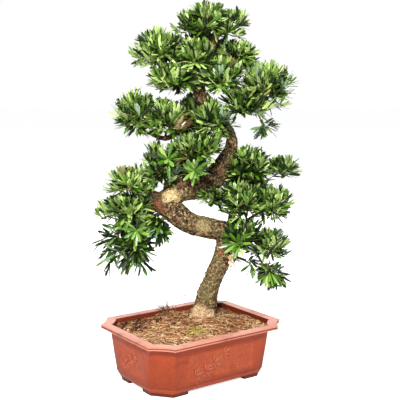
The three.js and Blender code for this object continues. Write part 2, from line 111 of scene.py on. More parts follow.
def pointsOf(piece, kind="co"):
    # the piece's points as rows, or their normals with "normal"
    rows = np.empty(len(piece.data.vertices) * 3, np.float32)
    piece.data.vertices.foreach_get(kind, rows)
    return rows.reshape(-1, 3).astype(float)


def setPoints(piece, places):
    piece.data.vertices.foreach_set("co", places.astype(np.float32).ravel())
    piece.data.update()


def readMarks(piece, name):
    marks = np.empty(len(piece.data.vertices), np.float32)
    piece.data.attributes[name].data.foreach_get("value", marks)
    return marks


def markPoints(piece, name, values):
    # a value at each point, for the piece's material
    kinds = piece.data.attributes
    mark = kinds.get(name) or kinds.new(name, "FLOAT", "POINT")
    mark.data.foreach_set("value", np.asarray(values).astype(np.float32))


def unit(v):
    return v / np.maximum(np.linalg.norm(v, axis=-1, keepdims=True), 1e-12)


def finderOf(places):
    # finds which of these places lies nearest to a point
    finder = KDTree(len(places))
    for i, place in enumerate(places):
        finder.insert(Vector(place), i)
    finder.balance()
    return finder


view = {
    "place": (-1131.9, -1620.4, 723.2), "tilt": 82.16, "turn": -35.6, "lens": 71.95,
    "sensor": 36, "near": 0.05, "far": 60,
}


def addCamera():
    bpy.ops.object.camera_add(
        location=Vector(view["place"]) * mm + potMiddle,
        rotation=(math.radians(view["tilt"]), 0, math.radians(view["turn"])),
    )
    camera = bpy.context.object
    camera.name = "camera"
    camera.data.lens = view["lens"]
    camera.data.sensor_width = view["sensor"]
    camera.data.clip_start = view["near"]
    camera.data.clip_end = view["far"]
    bpy.context.scene.camera = camera


addCamera()
print("camera set")


def newMaterial(name, **values):
    material = bpy.data.materials.new(name)
    material.use_nodes = True
    shader = material.node_tree.nodes["Principled BSDF"]
    for socket, value in values.items():
        shader.inputs[socket.replace("_", " ")].default_value = value
    return material, material.node_tree, shader


def rgb(red, green, blue):
    # a colour as seen on a screen, 0 to 255, made linear
    linear = [((c / 255 + 0.055) / 1.055) ** 2.4 if c > 10 else c / 3294.6 for c in (red, green, blue)]
    return (*linear, 1)


def newMaskGroup(name, vectors, values):
    # a shader group with these inputs that puts out one mask, from 0 to 1
    group = bpy.data.node_groups.new(name, "ShaderNodeTree")
    face = group.interface
    for label in vectors:
        face.new_socket(name=label, in_out="INPUT", socket_type="NodeSocketVector")
    for label, start in values:
        face.new_socket(name=label, in_out="INPUT", socket_type="NodeSocketFloat").default_value = start
    face.new_socket(name="Mask", in_out="OUTPUT", socket_type="NodeSocketFloat")
    given = group.nodes.new("NodeGroupInput").outputs
    mask = group.nodes.new("NodeGroupOutput").inputs["Mask"]
    place = group.nodes.new("ShaderNodeTexCoord").outputs["Object"]
    return group, given, mask, place


def makePatchGroup():
    # soft patches out of noise on the object's own coordinates
    group, given, mask, place = newMaskGroup(
        "patches", [], [("Size", 20.0), ("Detail", 4.0), ("Low", 0.4), ("High", 0.6), ("Shift", 0.0)])
    spread = group.nodes.new("ShaderNodeTexNoise")
    spread.noise_dimensions = "4D"
    stretch = group.nodes.new("ShaderNodeMapRange")
    stretch.interpolation_type = "SMOOTHSTEP"
    for source, sink in (
        (place, spread.inputs["Vector"]),
        (given["Size"], spread.inputs["Scale"]),
        (given["Detail"], spread.inputs["Detail"]),
        (given["Shift"], spread.inputs["W"]),
        (spread.outputs["Fac"], stretch.inputs["Value"]),
        (given["Low"], stretch.inputs["From Min"]),
        (given["High"], stretch.inputs["From Max"]),
        (stretch.outputs["Result"], mask),
    ):
        group.links.new(source, sink)
    return group


def makeSpotGroup():
    # a soft round spot at a place, its edge broken by noise
    group, given, mask, place = newMaskGroup(
        "spot", ["Place"], [("Radius", 0.03), ("Edge", 0.01), ("Breakup", 0.02)])
    apart = group.nodes.new("ShaderNodeVectorMath")
    apart.operation = "DISTANCE"
    spread = group.nodes.new("ShaderNodeTexNoise")
    spread.inputs["Scale"].default_value = 70
    spread.inputs["Detail"].default_value = 5
    broken = group.nodes.new("ShaderNodeMath")
    broken.operation = "MULTIPLY_ADD"
    outer = group.nodes.new("ShaderNodeMath")
    outer.operation = "ADD"
    fade = group.nodes.new("ShaderNodeMapRange")
    fade.interpolation_type = "SMOOTHSTEP"
    fade.inputs["To Min"].default_value = 1
    fade.inputs["To Max"].default_value = 0
    for source, sink in (
        (place, apart.inputs[0]),
        (given["Place"], apart.inputs[1]),
        (place, spread.inputs["Vector"]),
        (spread.outputs["Fac"], broken.inputs[0]),
        (given["Breakup"], broken.inputs[1]),
        (apart.outputs["Value"], broken.inputs[2]),
        (given["Radius"], outer.inputs[0]),
        (given["Edge"], outer.inputs[1]),
        (broken.outputs["Value"], fade.inputs["Value"]),
        (given["Radius"], fade.inputs["From Min"]),
        (outer.outputs["Value"], fade.inputs["From Max"]),
        (fade.outputs["Result"], mask),
    ):
        group.links.new(source, sink)
    return group


patchGroup = makePatchGroup()
spotGroup = makeSpotGroup()


def useGroup(web, group, **values):
    node = web.nodes.new("ShaderNodeGroup")
    node.node_tree = group
    for label, value in values.items():
        node.inputs[label].default_value = value
    return node.outputs["Mask"]


def patches(web, size, low, high, detail=4.0, shift=0.0):
    return useGroup(web, patchGroup, Size=size, Detail=detail, Low=low, High=high, Shift=shift)


def spot(web, place, radius, edge):
    return useGroup(web, spotGroup, Place=place, Radius=radius, Edge=edge)


def mixColour(web, amount, under, over):
    node = web.nodes.new("ShaderNodeMix")
    node.data_type = "RGBA"
    for socket, value in (("Factor", amount), ("A", under), ("B", over)):
        wanted = "VALUE" if socket == "Factor" else "RGBA"
        target = next(i for i in node.inputs if i.name == socket and i.type == wanted)
        if isinstance(value, bpy.types.NodeSocket):
            web.links.new(value, target)
        else:
            target.default_value = value
    return next(o for o in node.outputs if o.type == "RGBA")


def scaled(web, value, factor):
    node = web.nodes.new("ShaderNodeMath")
    node.operation = "MULTIPLY"
    web.links.new(value, node.inputs[0])
    if isinstance(factor, bpy.types.NodeSocket):
        web.links.new(factor, node.inputs[1])
    else:
        node.inputs[1].default_value = factor
    return node.outputs[0]


def ranged(web, value, fromLow, fromHigh, toLow, toHigh):
    node = web.nodes.new("ShaderNodeMapRange")
    web.links.new(value, node.inputs["Value"])
    ends = {"From Min": fromLow, "From Max": fromHigh, "To Min": toLow, "To Max": toHigh}
    for label, number in ends.items():
        node.inputs[label].default_value = number
    return node.outputs["Result"]


def upwardFacing(web, low, high):
    # 1 where a surface looks up, 0 where it stands
    facing = web.nodes.new("ShaderNodeNewGeometry")
    split = web.nodes.new("ShaderNodeSeparateXYZ")
    web.links.new(facing.outputs["Normal"], split.inputs[0])
    return ranged(web, split.outputs["Z"], low, high, 0, 1)


def attribute(web, name):
    node = web.nodes.new("ShaderNodeAttribute")
    node.attribute_name = name
    return node.outputs["Fac"]


def addLayers(web, base, layers, colours):
    # patches of colour one over the other: colour, strength, then the patches' size, range, detail, shift
    for kind, strength, *how in layers:
        base = mixColour(web, scaled(web, patches(web, *how), strength), base, colours[kind])
    return base


def addBump(web, shader, height, strength, distance):
    node = web.nodes.new("ShaderNodeBump")
    node.inputs["Strength"].default_value = strength
    node.inputs["Distance"].default_value = distance
    web.links.new(height, node.inputs["Height"])
    web.links.new(node.outputs["Normal"], shader.inputs["Normal"])


def twoToned(name, first, second, size, detail=4.0, low=0.4, rough=0.8, gloss=0.2):
    # a material of one colour with soft patches of another
    material, web, shader = newMaterial(name, Roughness=rough, Specular_IOR_Level=gloss)
    base = mixColour(web, patches(web, size, low, 0.6, detail), first, second)
    web.links.new(base, shader.inputs["Base Color"])
    return material, web, shader


planter = {
    "length": 400, "width": 320, "height": 138, "rimWidth": 24, "rimUnderside": 128.7,
    # two bands with a groove between them: inset, and share of the edge's height
    "rimEdge": [(3, 0), (0.4, 0.1), (0.4, 0.36), (3, 0.44), (3, 0.6), (0, 0.7), (0, 0.88), (1.4, 1)],
    "groove": (0.4, 0.64), "lip": (7, 1), "wall": 5.5, "cutShrink": 0.8,
    "rimCut": (45, 47, 0.5, 4.2),  # the cut corner's two runs, how they shrink inwards, and its notch
    "notch": [(0.17, 0.85), (0.5, 1), (0.83, 0.85)],  # share along the cut, and of the notch's depth
    # insets of the ends and the long sides, and the corners' cuts, under the rim and at the foot
    "wallTop": (18, 21, 42, 46), "wallFoot": (24, 36, 44, 51),
    "ledge": (24.5, 2.3, 1.5, 4), "underside": (9, 8), "floor": 14,
    "footRun": 80, "footWidth": 19, "footStep": 9, "footLean": 1.5, "footSunk": 1.5,
    "softEdge": (0.55, 2), "softFrom": 18, "smoothTo": 40, "slack": 1, "lipSlack": 0.7, "rimSlack": 0.5,
    "panelFrame": 8, "panelSlope": 3.5, "panelDepth": 1.0, "panelLow": 37, "panelHigh": 101,
    "panelMargin": (34, 20),  # from the corners, on the long walls and the ends
    # the rim top's pale colour is bleached clay and partly a painted sheen
    "colour": rgb(148, 53, 18), "dusty": rgb(160, 68, 32), "paleTopAndSheen": rgb(196, 130, 108),
    "field": rgb(146, 57, 24), "fieldDusty": rgb(164, 80, 48), "scuff": rgb(226, 160, 134),
    # the inside colour is darker than the walls as painted shade
    "shade": rgb(92, 34, 14), "inside": rgb(112, 42, 20), "foot": rgb(78, 32, 18),
    "rough": (0.42, 0.62), "gloss": 0.25, "bump": ((300, 0.2, 0.8, 4, 5), 0.25, 0.0008),
    # uneven colour, and how far it and the worn backs of the relief turn pale; the rim and the faces that
    # look up turn pale too, partly as a painted sheen
    "fading": (11, 0.3, 0.75, 6), "faded": 0.5, "worn": 0.75, "looksUp": (0.55, 0.95),
    "dustAndLowDarkening": [("dusty", 0.5, 120, 0.44, 0.62, 8, 4)],
    "stainPatches": (0.6, 34, 0.5, 0.8, 8, 7), "scuffPatches": (130, 0.66, 0.74, 9, 3),
    # painted shade in the rim's groove and under the ledge, and the wall darker towards the ledge as far
    # up as this
    "grooveShade": 0.75, "underLedgeShade": 0.8, "ledgeBand": (2.4, 0.6), "ledgeDarkening": 0.5, "ledgeDarkeningRise": 16,
}
wallTurns = {"front": 0, "right": 90, "back": 180, "left": 270}


def isLong(wall):
    return wall in ("front", "back")


def wallTurn(wall, way=1):
    return Matrix.Rotation(math.radians(way * wallTurns[wall]), 3, "Z")


def potRing(insets, z, cutX, cutY, dip=0.0):
    x = planter["length"] / 2 - insets[0]
    y = planter["width"] / 2 - insets[1]
    slant = math.hypot(cutX, cutY)
    quarter = [(x, y - cutY)]
    for share, deep in planter["notch"]:
        sunk = dip * deep / slant
        quarter.append((x - cutX * share - sunk * cutY, y - cutY * (1 - share) - sunk * cutX))
    quarter.append((x - cutX, y))
    ring = []
    for sx, sy in ((1, 1), (-1, 1), (-1, -1), (1, -1)):
        corner = [Vector((sx * px * mm, sy * py * mm, z * mm)) + potMiddle for px, py in quarter]
        ring += corner if sx * sy > 0 else corner[::-1]
    return ring


def rimRing(inset, z):
    x, y, shrink, dip = planter["rimCut"]
    return potRing((inset, inset), z, x - shrink * inset, y - shrink * inset, dip)


def wallAt(z):
    # the wall's insets and cuts at one level
    under, foot = planter["rimUnderside"], planter["ledge"][0]
    share = (under - z) / (under - foot)
    return [top + (low - top) * share for top, low in zip(planter["wallTop"], planter["wallFoot"])]


def wallRing(z, inward=0.0):
    endInset, sideInset, cutX, cutY = wallAt(z)
    less = planter["cutShrink"] * inward
    return potRing((endInset + inward, sideInset + inward), z, cutX - less, cutY - less)


def wallPlace(wall, along, z, out=0.0):
    # a point on one of the four walls: along it, up it and out from it
    endInset, sideInset, _, _ = wallAt(z)
    if isLong(wall):
        reach = planter["width"] / 2 - sideInset
    else:
        reach = planter["length"] / 2 - endInset
    return wallTurn(wall) @ Vector((along, -reach - out, z)) * mm + potMiddle


def wallOf(normal):
    # the name of the wall that looks this way
    return max(wallTurns, key=lambda wall: (wallTurn(wall) @ Vector((0, -1, 0))).dot(normal))


def panelHalf(wall):
    endInset, sideInset, cutX, cutY = planter["wallFoot"]
    if isLong(wall):
        return planter["length"] / 2 - endInset - cutX - planter["panelMargin"][0]
    return planter["width"] / 2 - sideInset - cutY - planter["panelMargin"][1]


def drawUp(name, rings):
    # one face, drawn up ring by ring; each new ring's corners are then put in place
    clearPick()
    count = len(rings[0])
    bpy.ops.mesh.primitive_circle_add(vertices=count, radius=0.2, fill_type="NGON")
    piece = bpy.context.object
    piece.name = piece.data.name = name
    bpy.ops.object.mode_set(mode="EDIT")
    bpy.ops.mesh.select_all(action="SELECT")
    shape = bmesh.from_edit_mesh(piece.data)
    corners = list(shape.verts)
    for corner, place in zip(corners, rings[0]):
        corner.co = place
    bmesh.update_edit_mesh(piece.data)
    for last, ring in zip(rings, rings[1:]):
        bpy.ops.mesh.extrude_region_move(TRANSFORM_OT_translate={"value": (0, 0, 0)})
        shape = bmesh.from_edit_mesh(piece.data)
        for corner in [v for v in shape.verts if v.select]:
            nearest = min(range(count), key=lambda i: (last[i] - corner.co).length_squared)
            corner.co = ring[nearest]
        bmesh.update_edit_mesh(piece.data)
    bpy.ops.mesh.select_all(action="SELECT")
    bpy.ops.mesh.normals_make_consistent(inside=False)
    bpy.ops.object.mode_set(mode="OBJECT")
    return piece


def isOuterWall(face):
    middle = face.calc_center_median() - potMiddle
    outward = face.normal.x * middle.x + face.normal.y * middle.y > 0
    straight = max(abs(face.normal.x), abs(face.normal.y)) > 0.98  # not one of the cut corners
    return outward and straight and planter["panelLow"] < middle.z / mm < planter["panelHigh"]


def sinkPanels(bowl):
    # a shallow field in each wall, with a soft slope round it
    pick(bowl)
    bpy.ops.object.mode_set(mode="EDIT")
    bpy.ops.mesh.select_mode(type="FACE")
    shape = bmesh.from_edit_mesh(bowl.data)
    for face in shape.faces:
        face.select_set(isOuterWall(face))
    shape.select_flush_mode()
    bmesh.update_edit_mesh(bowl.data)
    bpy.ops.mesh.inset(thickness=planter["panelFrame"] * mm, depth=0, use_individual=True)
    shape = bmesh.from_edit_mesh(bowl.data)
    for face in [f for f in shape.faces if f.select]:
        wall = wallOf(face.normal)
        back = wallTurn(wall, -1)
        middle = face.calc_center_median()
        for corner in face.verts:
            side = 1 if (back @ (corner.co - potMiddle)).x > 0 else -1
            z = planter["panelHigh"] if corner.co.z > middle.z else planter["panelLow"]
            corner.co = wallPlace(wall, side * panelHalf(wall), z)
    bmesh.update_edit_mesh(bowl.data)
    slope, depth = planter["panelSlope"] * mm, planter["panelDepth"] * mm
    bpy.ops.mesh.inset(thickness=slope, depth=-depth, use_individual=True)
    bpy.ops.object.mode_set(mode="OBJECT")


def makeBowl():
    height, under = planter["height"], planter["rimUnderside"]
    ledgeZ, step, groove, ledgeTall = planter["ledge"]
    undersideZ, undersideStep = planter["underside"]
    lipDepth, lipRound = planter["lip"]
    bowl = drawUp("planter", [
        wallRing(undersideZ, undersideStep),
        wallRing(ledgeZ - ledgeTall, step),
        wallRing(ledgeZ - groove, step),
        wallRing(ledgeZ),
        wallRing(under),
        *[rimRing(inset, under + (height - under) * share) for inset, share in planter["rimEdge"]],
        rimRing(planter["rimWidth"], height),
        rimRing(planter["rimWidth"] + lipRound, height - lipRound),
        wallRing(height - lipDepth, planter["wall"]),
        wallRing(planter["floor"], planter["wall"]),
    ])
    sinkPanels(bowl)
    return bowl


def makeFoot(sx, sy):
    # an L under one corner of the walls
    endInset, sideInset, cutX, cutY = wallAt(0)
    step, wide, run = planter["footStep"], planter["footWidth"], planter["footRun"]
    shrink, lean = planter["cutShrink"], planter["footLean"]
    x, y = planter["length"] / 2 - endInset - step, planter["width"] / 2 - sideInset - step
    outX, outY = cutX - shrink * step, cutY - shrink * step
    inX, inY = x - wide, y - wide
    innerX, innerY = outX - shrink * wide, outY - shrink * wide
    outline = [
        (x, y - run), (x, y - outY), (x - outX, y), (x - run, y), (x - run, inY),
        (inX - innerX, inY), (inX, inY - innerY), (inX, y - run),
    ]
    low = [Vector((sx * px * mm, sy * py * mm, 0)) + potMiddle for px, py in outline]
    top = planter["underside"][0] + planter["footSunk"]
    spread = [(px + lean, py + lean) for px, py in outline]
    high = [Vector((sx * px * mm, sy * py * mm, top * mm)) + potMiddle for px, py in spread]
    return drawUp("foot", [low, high])


# a spray of bamboo in low relief: a stalk that rises across the field, and leaves at its joints
bamboo = {
    "stalk": [(-76, 46), (-48, 54), (-14, 74), (2, 88)], "stalkWidth": 2.6, "stalkRise": 0.7,
    "overlap": 1.06, "dips": (0, -3.5, -3, 0),  # each joint lies this far off a straight stalk
    # a leaf's length, width and rise, its least scale and how much more, and its taper's share and power
    "leaf": (30, 7.0, 3.0), "leafScale": (0.7, 0.5), "taper": (0.55, 1.5), "sunk": 0.4, "facets": (8, 6),
    "fan": (-92, -62, -30, 2, 34, 66), "lean": 28, "scatter": 10, "seed": 5,  # the leaves' directions
    "endShift": 12, "endScale": 0.72,  # on the planter's two ends
    # painted shade round each blade's foot, then the paleness of its worn back
    "bladeFootShade": 0.65, "wornFrom": 0.6, "worn": 0.35,
}


def reliefBlade(wall, x, z, angle, length, width, rise, template):
    # one low blade on the sunk field of a wall
    piece = linkPiece("blade", template.data.copy())
    turned = math.radians(angle)
    taper, roundness = bamboo["taper"]
    for corner in piece.data.vertices:
        along, across, up = corner.co
        across *= 1 - taper * abs(along) ** roundness
        px = x + (along + 1) / 2 * length * math.cos(turned) - across * width / 2 * math.sin(turned)
        pz = z + (along + 1) / 2 * length * math.sin(turned) + across * width / 2 * math.cos(turned)
        out = up * rise - bamboo["sunk"] - planter["panelDepth"]
        corner.co = wallPlace(wall, px, pz, out)
    return piece


def reliefOn(wall, draw, template):
    scale, shift = (1.0, 0) if isLong(wall) else (bamboo["endScale"], bamboo["endShift"])
    line = np.array(bamboo["stalk"], float) * (scale, 1) + (shift, 0)
    length, width, rise = bamboo["leaf"]
    least, more = bamboo["leafScale"]
    blades = []
    for first, second in zip(line, line[1:]):
        run = second - first
        angle = math.degrees(math.atan2(run[1], run[0]))
        reach = np.linalg.norm(run) * bamboo["overlap"]
        stalk = (bamboo["stalkWidth"], rise * bamboo["stalkRise"])
        blades.append(reliefBlade(wall, *first, angle, reach, *stalk, template))
    count = len(bamboo["dips"])
    for k, dip in enumerate(bamboo["dips"]):
        x, z = line[0] + (line[-1] - line[0]) * k / (count - 1) + (0, dip)
        for turn in bamboo["fan"][k % 2:]:
            angle = bamboo["lean"] + turn + draw.normal(0, bamboo["scatter"])
            size = length * scale * (least + more * draw.random())
            blades.append(reliefBlade(wall, x, z, angle, size, width, rise, template))
    return blades


def makeRelief():
    clearPick()
    sides, rings = bamboo["facets"]
    bpy.ops.mesh.primitive_uv_sphere_add(segments=sides, ring_count=rings, rotation=(0, math.pi / 2, 0))
    template = bpy.context.object
    bpy.ops.object.transform_apply(location=True, rotation=True, scale=True)
    templateUp = pointsOf(template)[:, 2]
    draw = np.random.default_rng(bamboo["seed"])
    blades = [blade for wall in wallTurns for blade in reliefOn(wall, draw, template)]
    bpy.data.objects.remove(template)
    relief = joinPieces(blades, "relief")
    # painted shade round the foot of each blade, and its back wears pale
    lift = np.tile(templateUp, len(relief.data.vertices) // len(templateUp))
    markPoints(relief, "shadeAndLowDarkening", np.clip(bamboo["bladeFootShade"] - lift, 0, bamboo["bladeFootShade"]))
    markPoints(relief, "bleachAndSheen", np.clip(lift - bamboo["wornFrom"], 0, bamboo["worn"]))
    return relief


def makePlanter():
    bowl = makeBowl()
    feet = [makeFoot(sx, sy) for sx in (1, -1) for sy in (1, -1)]
    piece = joinPieces([bowl, *feet], "planter")
    rounding = piece.modifiers.new("softEdges", "BEVEL")
    width, rounding.segments = planter["softEdge"]
    rounding.width = width * mm
    rounding.limit_method = "ANGLE"
    rounding.angle_limit = math.radians(planter["softFrom"])
    applyModifiers(piece)
    piece = joinPieces([piece, makeRelief()], "planter")
    smoothTo(piece, planter["smoothTo"])
    return piece


def planterMaterial(name, colour, dusty, wear, bleachedAndSheen):
    material, web, shader = newMaterial(name, Specular_IOR_Level=planter["gloss"])
    fading = patches(web, *planter["fading"])
    base = mixColour(web, scaled(web, fading, planter["faded"]), colour, dusty)
    colours = {**planter, "dusty": dusty}
    base = addLayers(web, base, planter["dustAndLowDarkening"], colours)
    if bleachedAndSheen:
        # dust and sun bleach the faces that look up, and what stands out; on the rim and the faces that
        # look up this pale is partly a painted sheen
        worn = scaled(web, attribute(web, "bleachAndSheen"), planter["worn"])
        for mask in (upwardFacing(web, *planter["looksUp"]), worn):
            base = mixColour(web, mask, base, planter["paleTopAndSheen"])
    stains = [("shade", *planter["stainPatches"]), ("scuff", wear, *planter["scuffPatches"])]
    base = addLayers(web, base, stains, colours)
    # painted shade in the creases, and the wall darker towards the ledge
    base = mixColour(web, attribute(web, "shadeAndLowDarkening"), base, planter["shade"])
    web.links.new(base, shader.inputs["Base Color"])
    web.links.new(ranged(web, fading, 0, 1, *planter["rough"]), shader.inputs["Roughness"])
    bumps, strength, distance = planter["bump"]
    addBump(web, shader, patches(web, *bumps), strength, distance)
    return material


def planterKind(face):
    # 0 wall and rim, 1 sunk field, 2 inside, in a darker colour that is painted shade, 3 underside and
    # feet
    middle = (face.center - potMiddle) / mm
    outward = face.normal.x * middle.x + face.normal.y * middle.y
    if middle.z < planter["underside"][0] + planter["slack"]:
        return 3
    if outward < 0 and middle.z < planter["height"] - planter["lipSlack"]:
        return 2
    wall = wallOf(face.normal)
    across = abs((wallTurn(wall, -1) @ middle).x) < panelHalf(wall) - planter["slack"]
    inField = across and planter["panelLow"] < middle.z < planter["panelHigh"]
    return 1 if inField and outward > 0 else 0


def dressPlanter(piece):
    # each kind of face has its own finish; the grooves get painted shade
    dress(
        piece,
        planterMaterial("planterWall", planter["colour"], planter["dusty"], 0.35, True),
        planterMaterial("planterField", planter["field"], planter["fieldDusty"], 0.45, True),
        # the inside walls get a darker colour as painted shade
        planterMaterial("planterInsideShade", planter["inside"], planter["shade"], 0.1, False),
        planterMaterial("planterFoot", planter["foot"], planter["shade"], 0.2, False),
    )
    kinds = [planterKind(face) for face in piece.data.polygons]
    piece.data.polygons.foreach_set("material_index", np.array(kinds, np.int32))
    z = pointsOf(piece)[:, 2] / mm
    under, height, ledgeZ = planter["rimUnderside"], planter["height"], planter["ledge"][0]
    grooveLow, grooveHigh = (under + (height - under) * share for share in planter["groove"])
    inGroove = (z > grooveLow) & (z < grooveHigh)
    bandLow, bandHigh = (ledgeZ - below for below in planter["ledgeBand"])
    underLedge = (z > bandLow) & (z < bandHigh)
    # the wall turns darker towards the ledge at its foot, over this rise
    dustAndLowDarkening = planter["ledgeDarkening"] * np.clip(1 - (z - ledgeZ) / planter["ledgeDarkeningRise"], 0, 1)
    shadeAndLowDarkening = readMarks(piece, "shadeAndLowDarkening")
    # painted shade in the rim's groove and in the recess under the ledge
    shadeAndLowDarkening = np.maximum(shadeAndLowDarkening, inGroove * planter["grooveShade"])
    shadeAndLowDarkening = np.maximum(shadeAndLowDarkening, underLedge * planter["underLedgeShade"])
    markPoints(piece, "shadeAndLowDarkening", np.maximum(shadeAndLowDarkening, np.where(z > ledgeZ - planter["slack"], dustAndLowDarkening, 0)))
    # the rim is marked pale, partly a painted sheen
    onRim = (z > under + planter["rimSlack"]) & ~inGroove
    markPoints(piece, "bleachAndSheen", np.maximum(readMarks(piece, "bleachAndSheen"), onRim))


planterPiece = makePlanter()
dressPlanter(planterPiece)
finishPiece(planterPiece, ["pot"])
print("planter made")


treeSpot = {"x": 62, "y": 36, "z": 136, "turn": -35.6}  # the tree's own frame, in the pot's
treePlace = (
    Matrix.Translation(potMiddle + Vector((treeSpot["x"], treeSpot["y"], treeSpot["z"])) * mm)
    @ Matrix.Rotation(math.radians(treeSpot["turn"]), 4, "Z")
    @ Matrix.Scale(mm, 4)
)
treeMatrix = np.array(treePlace)
goldenAngle = math.pi * (3 - math.sqrt(5))


def toWorld(points):
    points = np.asarray(points, float)
    return points @ treeMatrix[:3, :3].T + treeMatrix[:3, 3]


def smoothRun(stations, step):
    # points and radii on a centripetal curve through stations of place and diameter
    stations = np.array(stations, float)
    places, count = stations[:, :3], len(stations)
    padded = np.vstack([2 * places[0] - places[1], places, 2 * places[-1] - places[-2]])
    run = []
    for i in range(count - 1):
        p = padded[i:i + 4]
        gaps = np.sqrt(np.maximum(np.linalg.norm(np.diff(p, axis=0), axis=1), 1e-6))
        t0, t1 = 0.0, gaps[0]
        t2, t3 = t1 + gaps[1], t1 + gaps[1] + gaps[2]
        steps = max(2, round(np.linalg.norm(p[2] - p[1]) / step))
        for k in range(steps + (i == count - 2)):
            share = k / steps
            t = t1 + (t2 - t1) * share
            a1 = (t1 - t) / (t1 - t0) * p[0] + (t - t0) / (t1 - t0) * p[1]
            a2 = (t2 - t) / (t2 - t1) * p[1] + (t - t1) / (t2 - t1) * p[2]
            a3 = (t3 - t) / (t3 - t2) * p[2] + (t - t2) / (t3 - t2) * p[3]
            b1 = (t2 - t) / (t2 - t0) * a1 + (t - t0) / (t2 - t0) * a2
            b2 = (t3 - t) / (t3 - t1) * a2 + (t - t1) / (t3 - t1) * a3
            point = (t2 - t) / (t2 - t1) * b1 + (t - t1) / (t2 - t1) * b2
            run.append([*point, (stations[i, 3] * (1 - share) + stations[i + 1, 3] * share) / 2])
    return np.array(run)


def buildTubes(runs, sides=5):
    # thin tapering tubes: each run is its points and its radii at the two ends
    points, faces, firstFaces = [], [], []
    for line, startRadius, endRadius in runs:
        line = np.asarray(line)
        along = unit(np.gradient(line, axis=0))
        across = unit(np.cross(along, [0.31, 0.95, 0.06]))  # a direction that hardly a twig follows
        third = np.cross(along, across)
        first = len(points)
        firstFaces.append(len(faces))
        for i, p in enumerate(line):
            radius = startRadius + (endRadius - startRadius) * i / (len(line) - 1)
            for k in range(sides):
                angle = 2 * math.pi * k / sides
                points.append(p + radius * (across[i] * math.cos(angle) + third[i] * math.sin(angle)))
        for r in range(len(line) - 1):
            for k in range(sides):
                a, b = first + r * sides + k, first + r * sides + (k + 1) % sides
                faces.append((a, b, b + sides, a + sides))
        faces.append(tuple(first + k for k in range(sides))[::-1])
        last = first + (len(line) - 1) * sides
        faces.append(tuple(last + k for k in range(sides)))
    return points, faces, [*firstFaces[1:], len(faces)]


soil = {
    "edge": 126.5, "crown": 137.7, "patch": 44, "clear": 0.6, "aboveFloor": 0.3, "grain": 2.4, "rings": 5,
    "skirt": 6,  # how far down the walls the lumps fade out
    "lumps": (3.2, 0.024), "crumbs": (2.2, 0.0085),  # height, and size in metres
    "heap": (10, 122, 9, 30),  # a small heap at the back: place, rise and spread
    "colour": rgb(136, 86, 52), "dark": rgb(52, 33, 19),
    "dry": rgb(198, 148, 102), "red": rgb(148, 80, 50),
    # colour, strength, then the patches' size, range, detail and shift
    "layers": [
        ("dark", 1, 60, 0.4, 0.62, 8, 0), ("red", 0.7, 26, 0.5, 0.7, 4, 9),
        ("dry", 1, 150, 0.5, 0.62, 7, 2), ("dark", 0.8, 210, 0.56, 0.66, 5, 6),
    ],
    "rough": 0.95, "gloss": 0.15, "bump": ((280, 0.2, 0.8, 8, 1), 0.9, 0.003), "seed": 11,
}
trunkFoot = Vector(toWorld([[1, 0, -14]])[0])


def makeSoil():
    edge = wallRing(soil["edge"], planter["wall"] + soil["clear"])
    rings = [wallRing(planter["floor"] + soil["aboveFloor"], planter["wall"] + soil["clear"]), edge]
    for r in range(1, soil["rings"] + 1):
        share = r / soil["rings"]
        rise = share * share * (3 - 2 * share)
        ring = []
        for p in edge:
            out = (p - trunkFoot) * Vector((1, 1, 0))
            inner = trunkFoot + out.normalized() * soil["patch"] * mm
            place = p.lerp(Vector((inner.x, inner.y, p.z)), share)
            place.z = (soil["edge"] + (soil["crown"] - soil["edge"]) * rise) * mm
            ring.append(place)
        rings.append(ring)
    piece = drawUp("soilBed", rings)
    grain = piece.modifiers.new("grain", "REMESH")
    grain.mode = "VOXEL"
    grain.voxel_size = soil["grain"] * mm
    applyModifiers(piece)
    places = pointsOf(piece)
    skirtFoot = (soil["edge"] - soil["skirt"]) * mm
    fromWall = np.clip((places[:, 2] - skirtFoot) / (soil["skirt"] * mm), 0, 1)
    heapX, heapY, heapRise, heapSpread = soil["heap"]
    inPot = (places - np.array(potMiddle)) / mm
    fromHeap = (inPot[:, 0] - heapX) ** 2 + (inPot[:, 1] - heapY) ** 2
    heap = heapRise * np.exp(-fromHeap / heapSpread ** 2)
    (lumpTall, lumpWide), (crumbTall, crumbWide) = soil["lumps"], soil["crumbs"]
    for i in np.nonzero(fromWall > 0)[0]:
        point = Vector(places[i])
        lump = lumpTall * noise.noise(point / lumpWide)
        crumb = crumbTall * noise.noise(point / crumbWide + Vector((4, 0, 0)))
        places[i, 2] += (heap[i] + lump + crumb) * mm * fromWall[i]
    setPoints(piece, places)
    return piece


def soilMaterial(name, colour, dark, dry):
    material, web, shader = newMaterial(name, Roughness=soil["rough"], Specular_IOR_Level=soil["gloss"])
    base = addLayers(web, colour, soil["layers"], {"dark": dark, "dry": dry, "red": soil["red"]})
    web.links.new(base, shader.inputs["Base Color"])
    bumps, strength, distance = soil["bump"]
    addBump(web, shader, patches(web, *bumps), strength, distance)
    return material


def groundAt(bed, x, y):
    # where a line straight down from 0.3 m meets the soil, at a place in the pot's own millimetres
    above = Vector((x * mm, y * mm, 0.3)) + potMiddle
    hit, place, _, _ = bed.ray_cast(above, Vector((0, 0, -1)))
    return place if hit else None


def inSoil(x, y, margin):
    # inside the soil's outline, with its cut corners
    endInset, sideInset, cutX, cutY = wallAt(soil["edge"])
    less = planter["wall"] + soil["clear"] + margin
    fromEnd = planter["length"] / 2 - endInset - less - abs(x)
    fromSide = planter["width"] / 2 - sideInset - less - abs(y)
    return fromEnd > 0 and fromSide > 0 and fromEnd / cutX + fromSide / cutY > 1


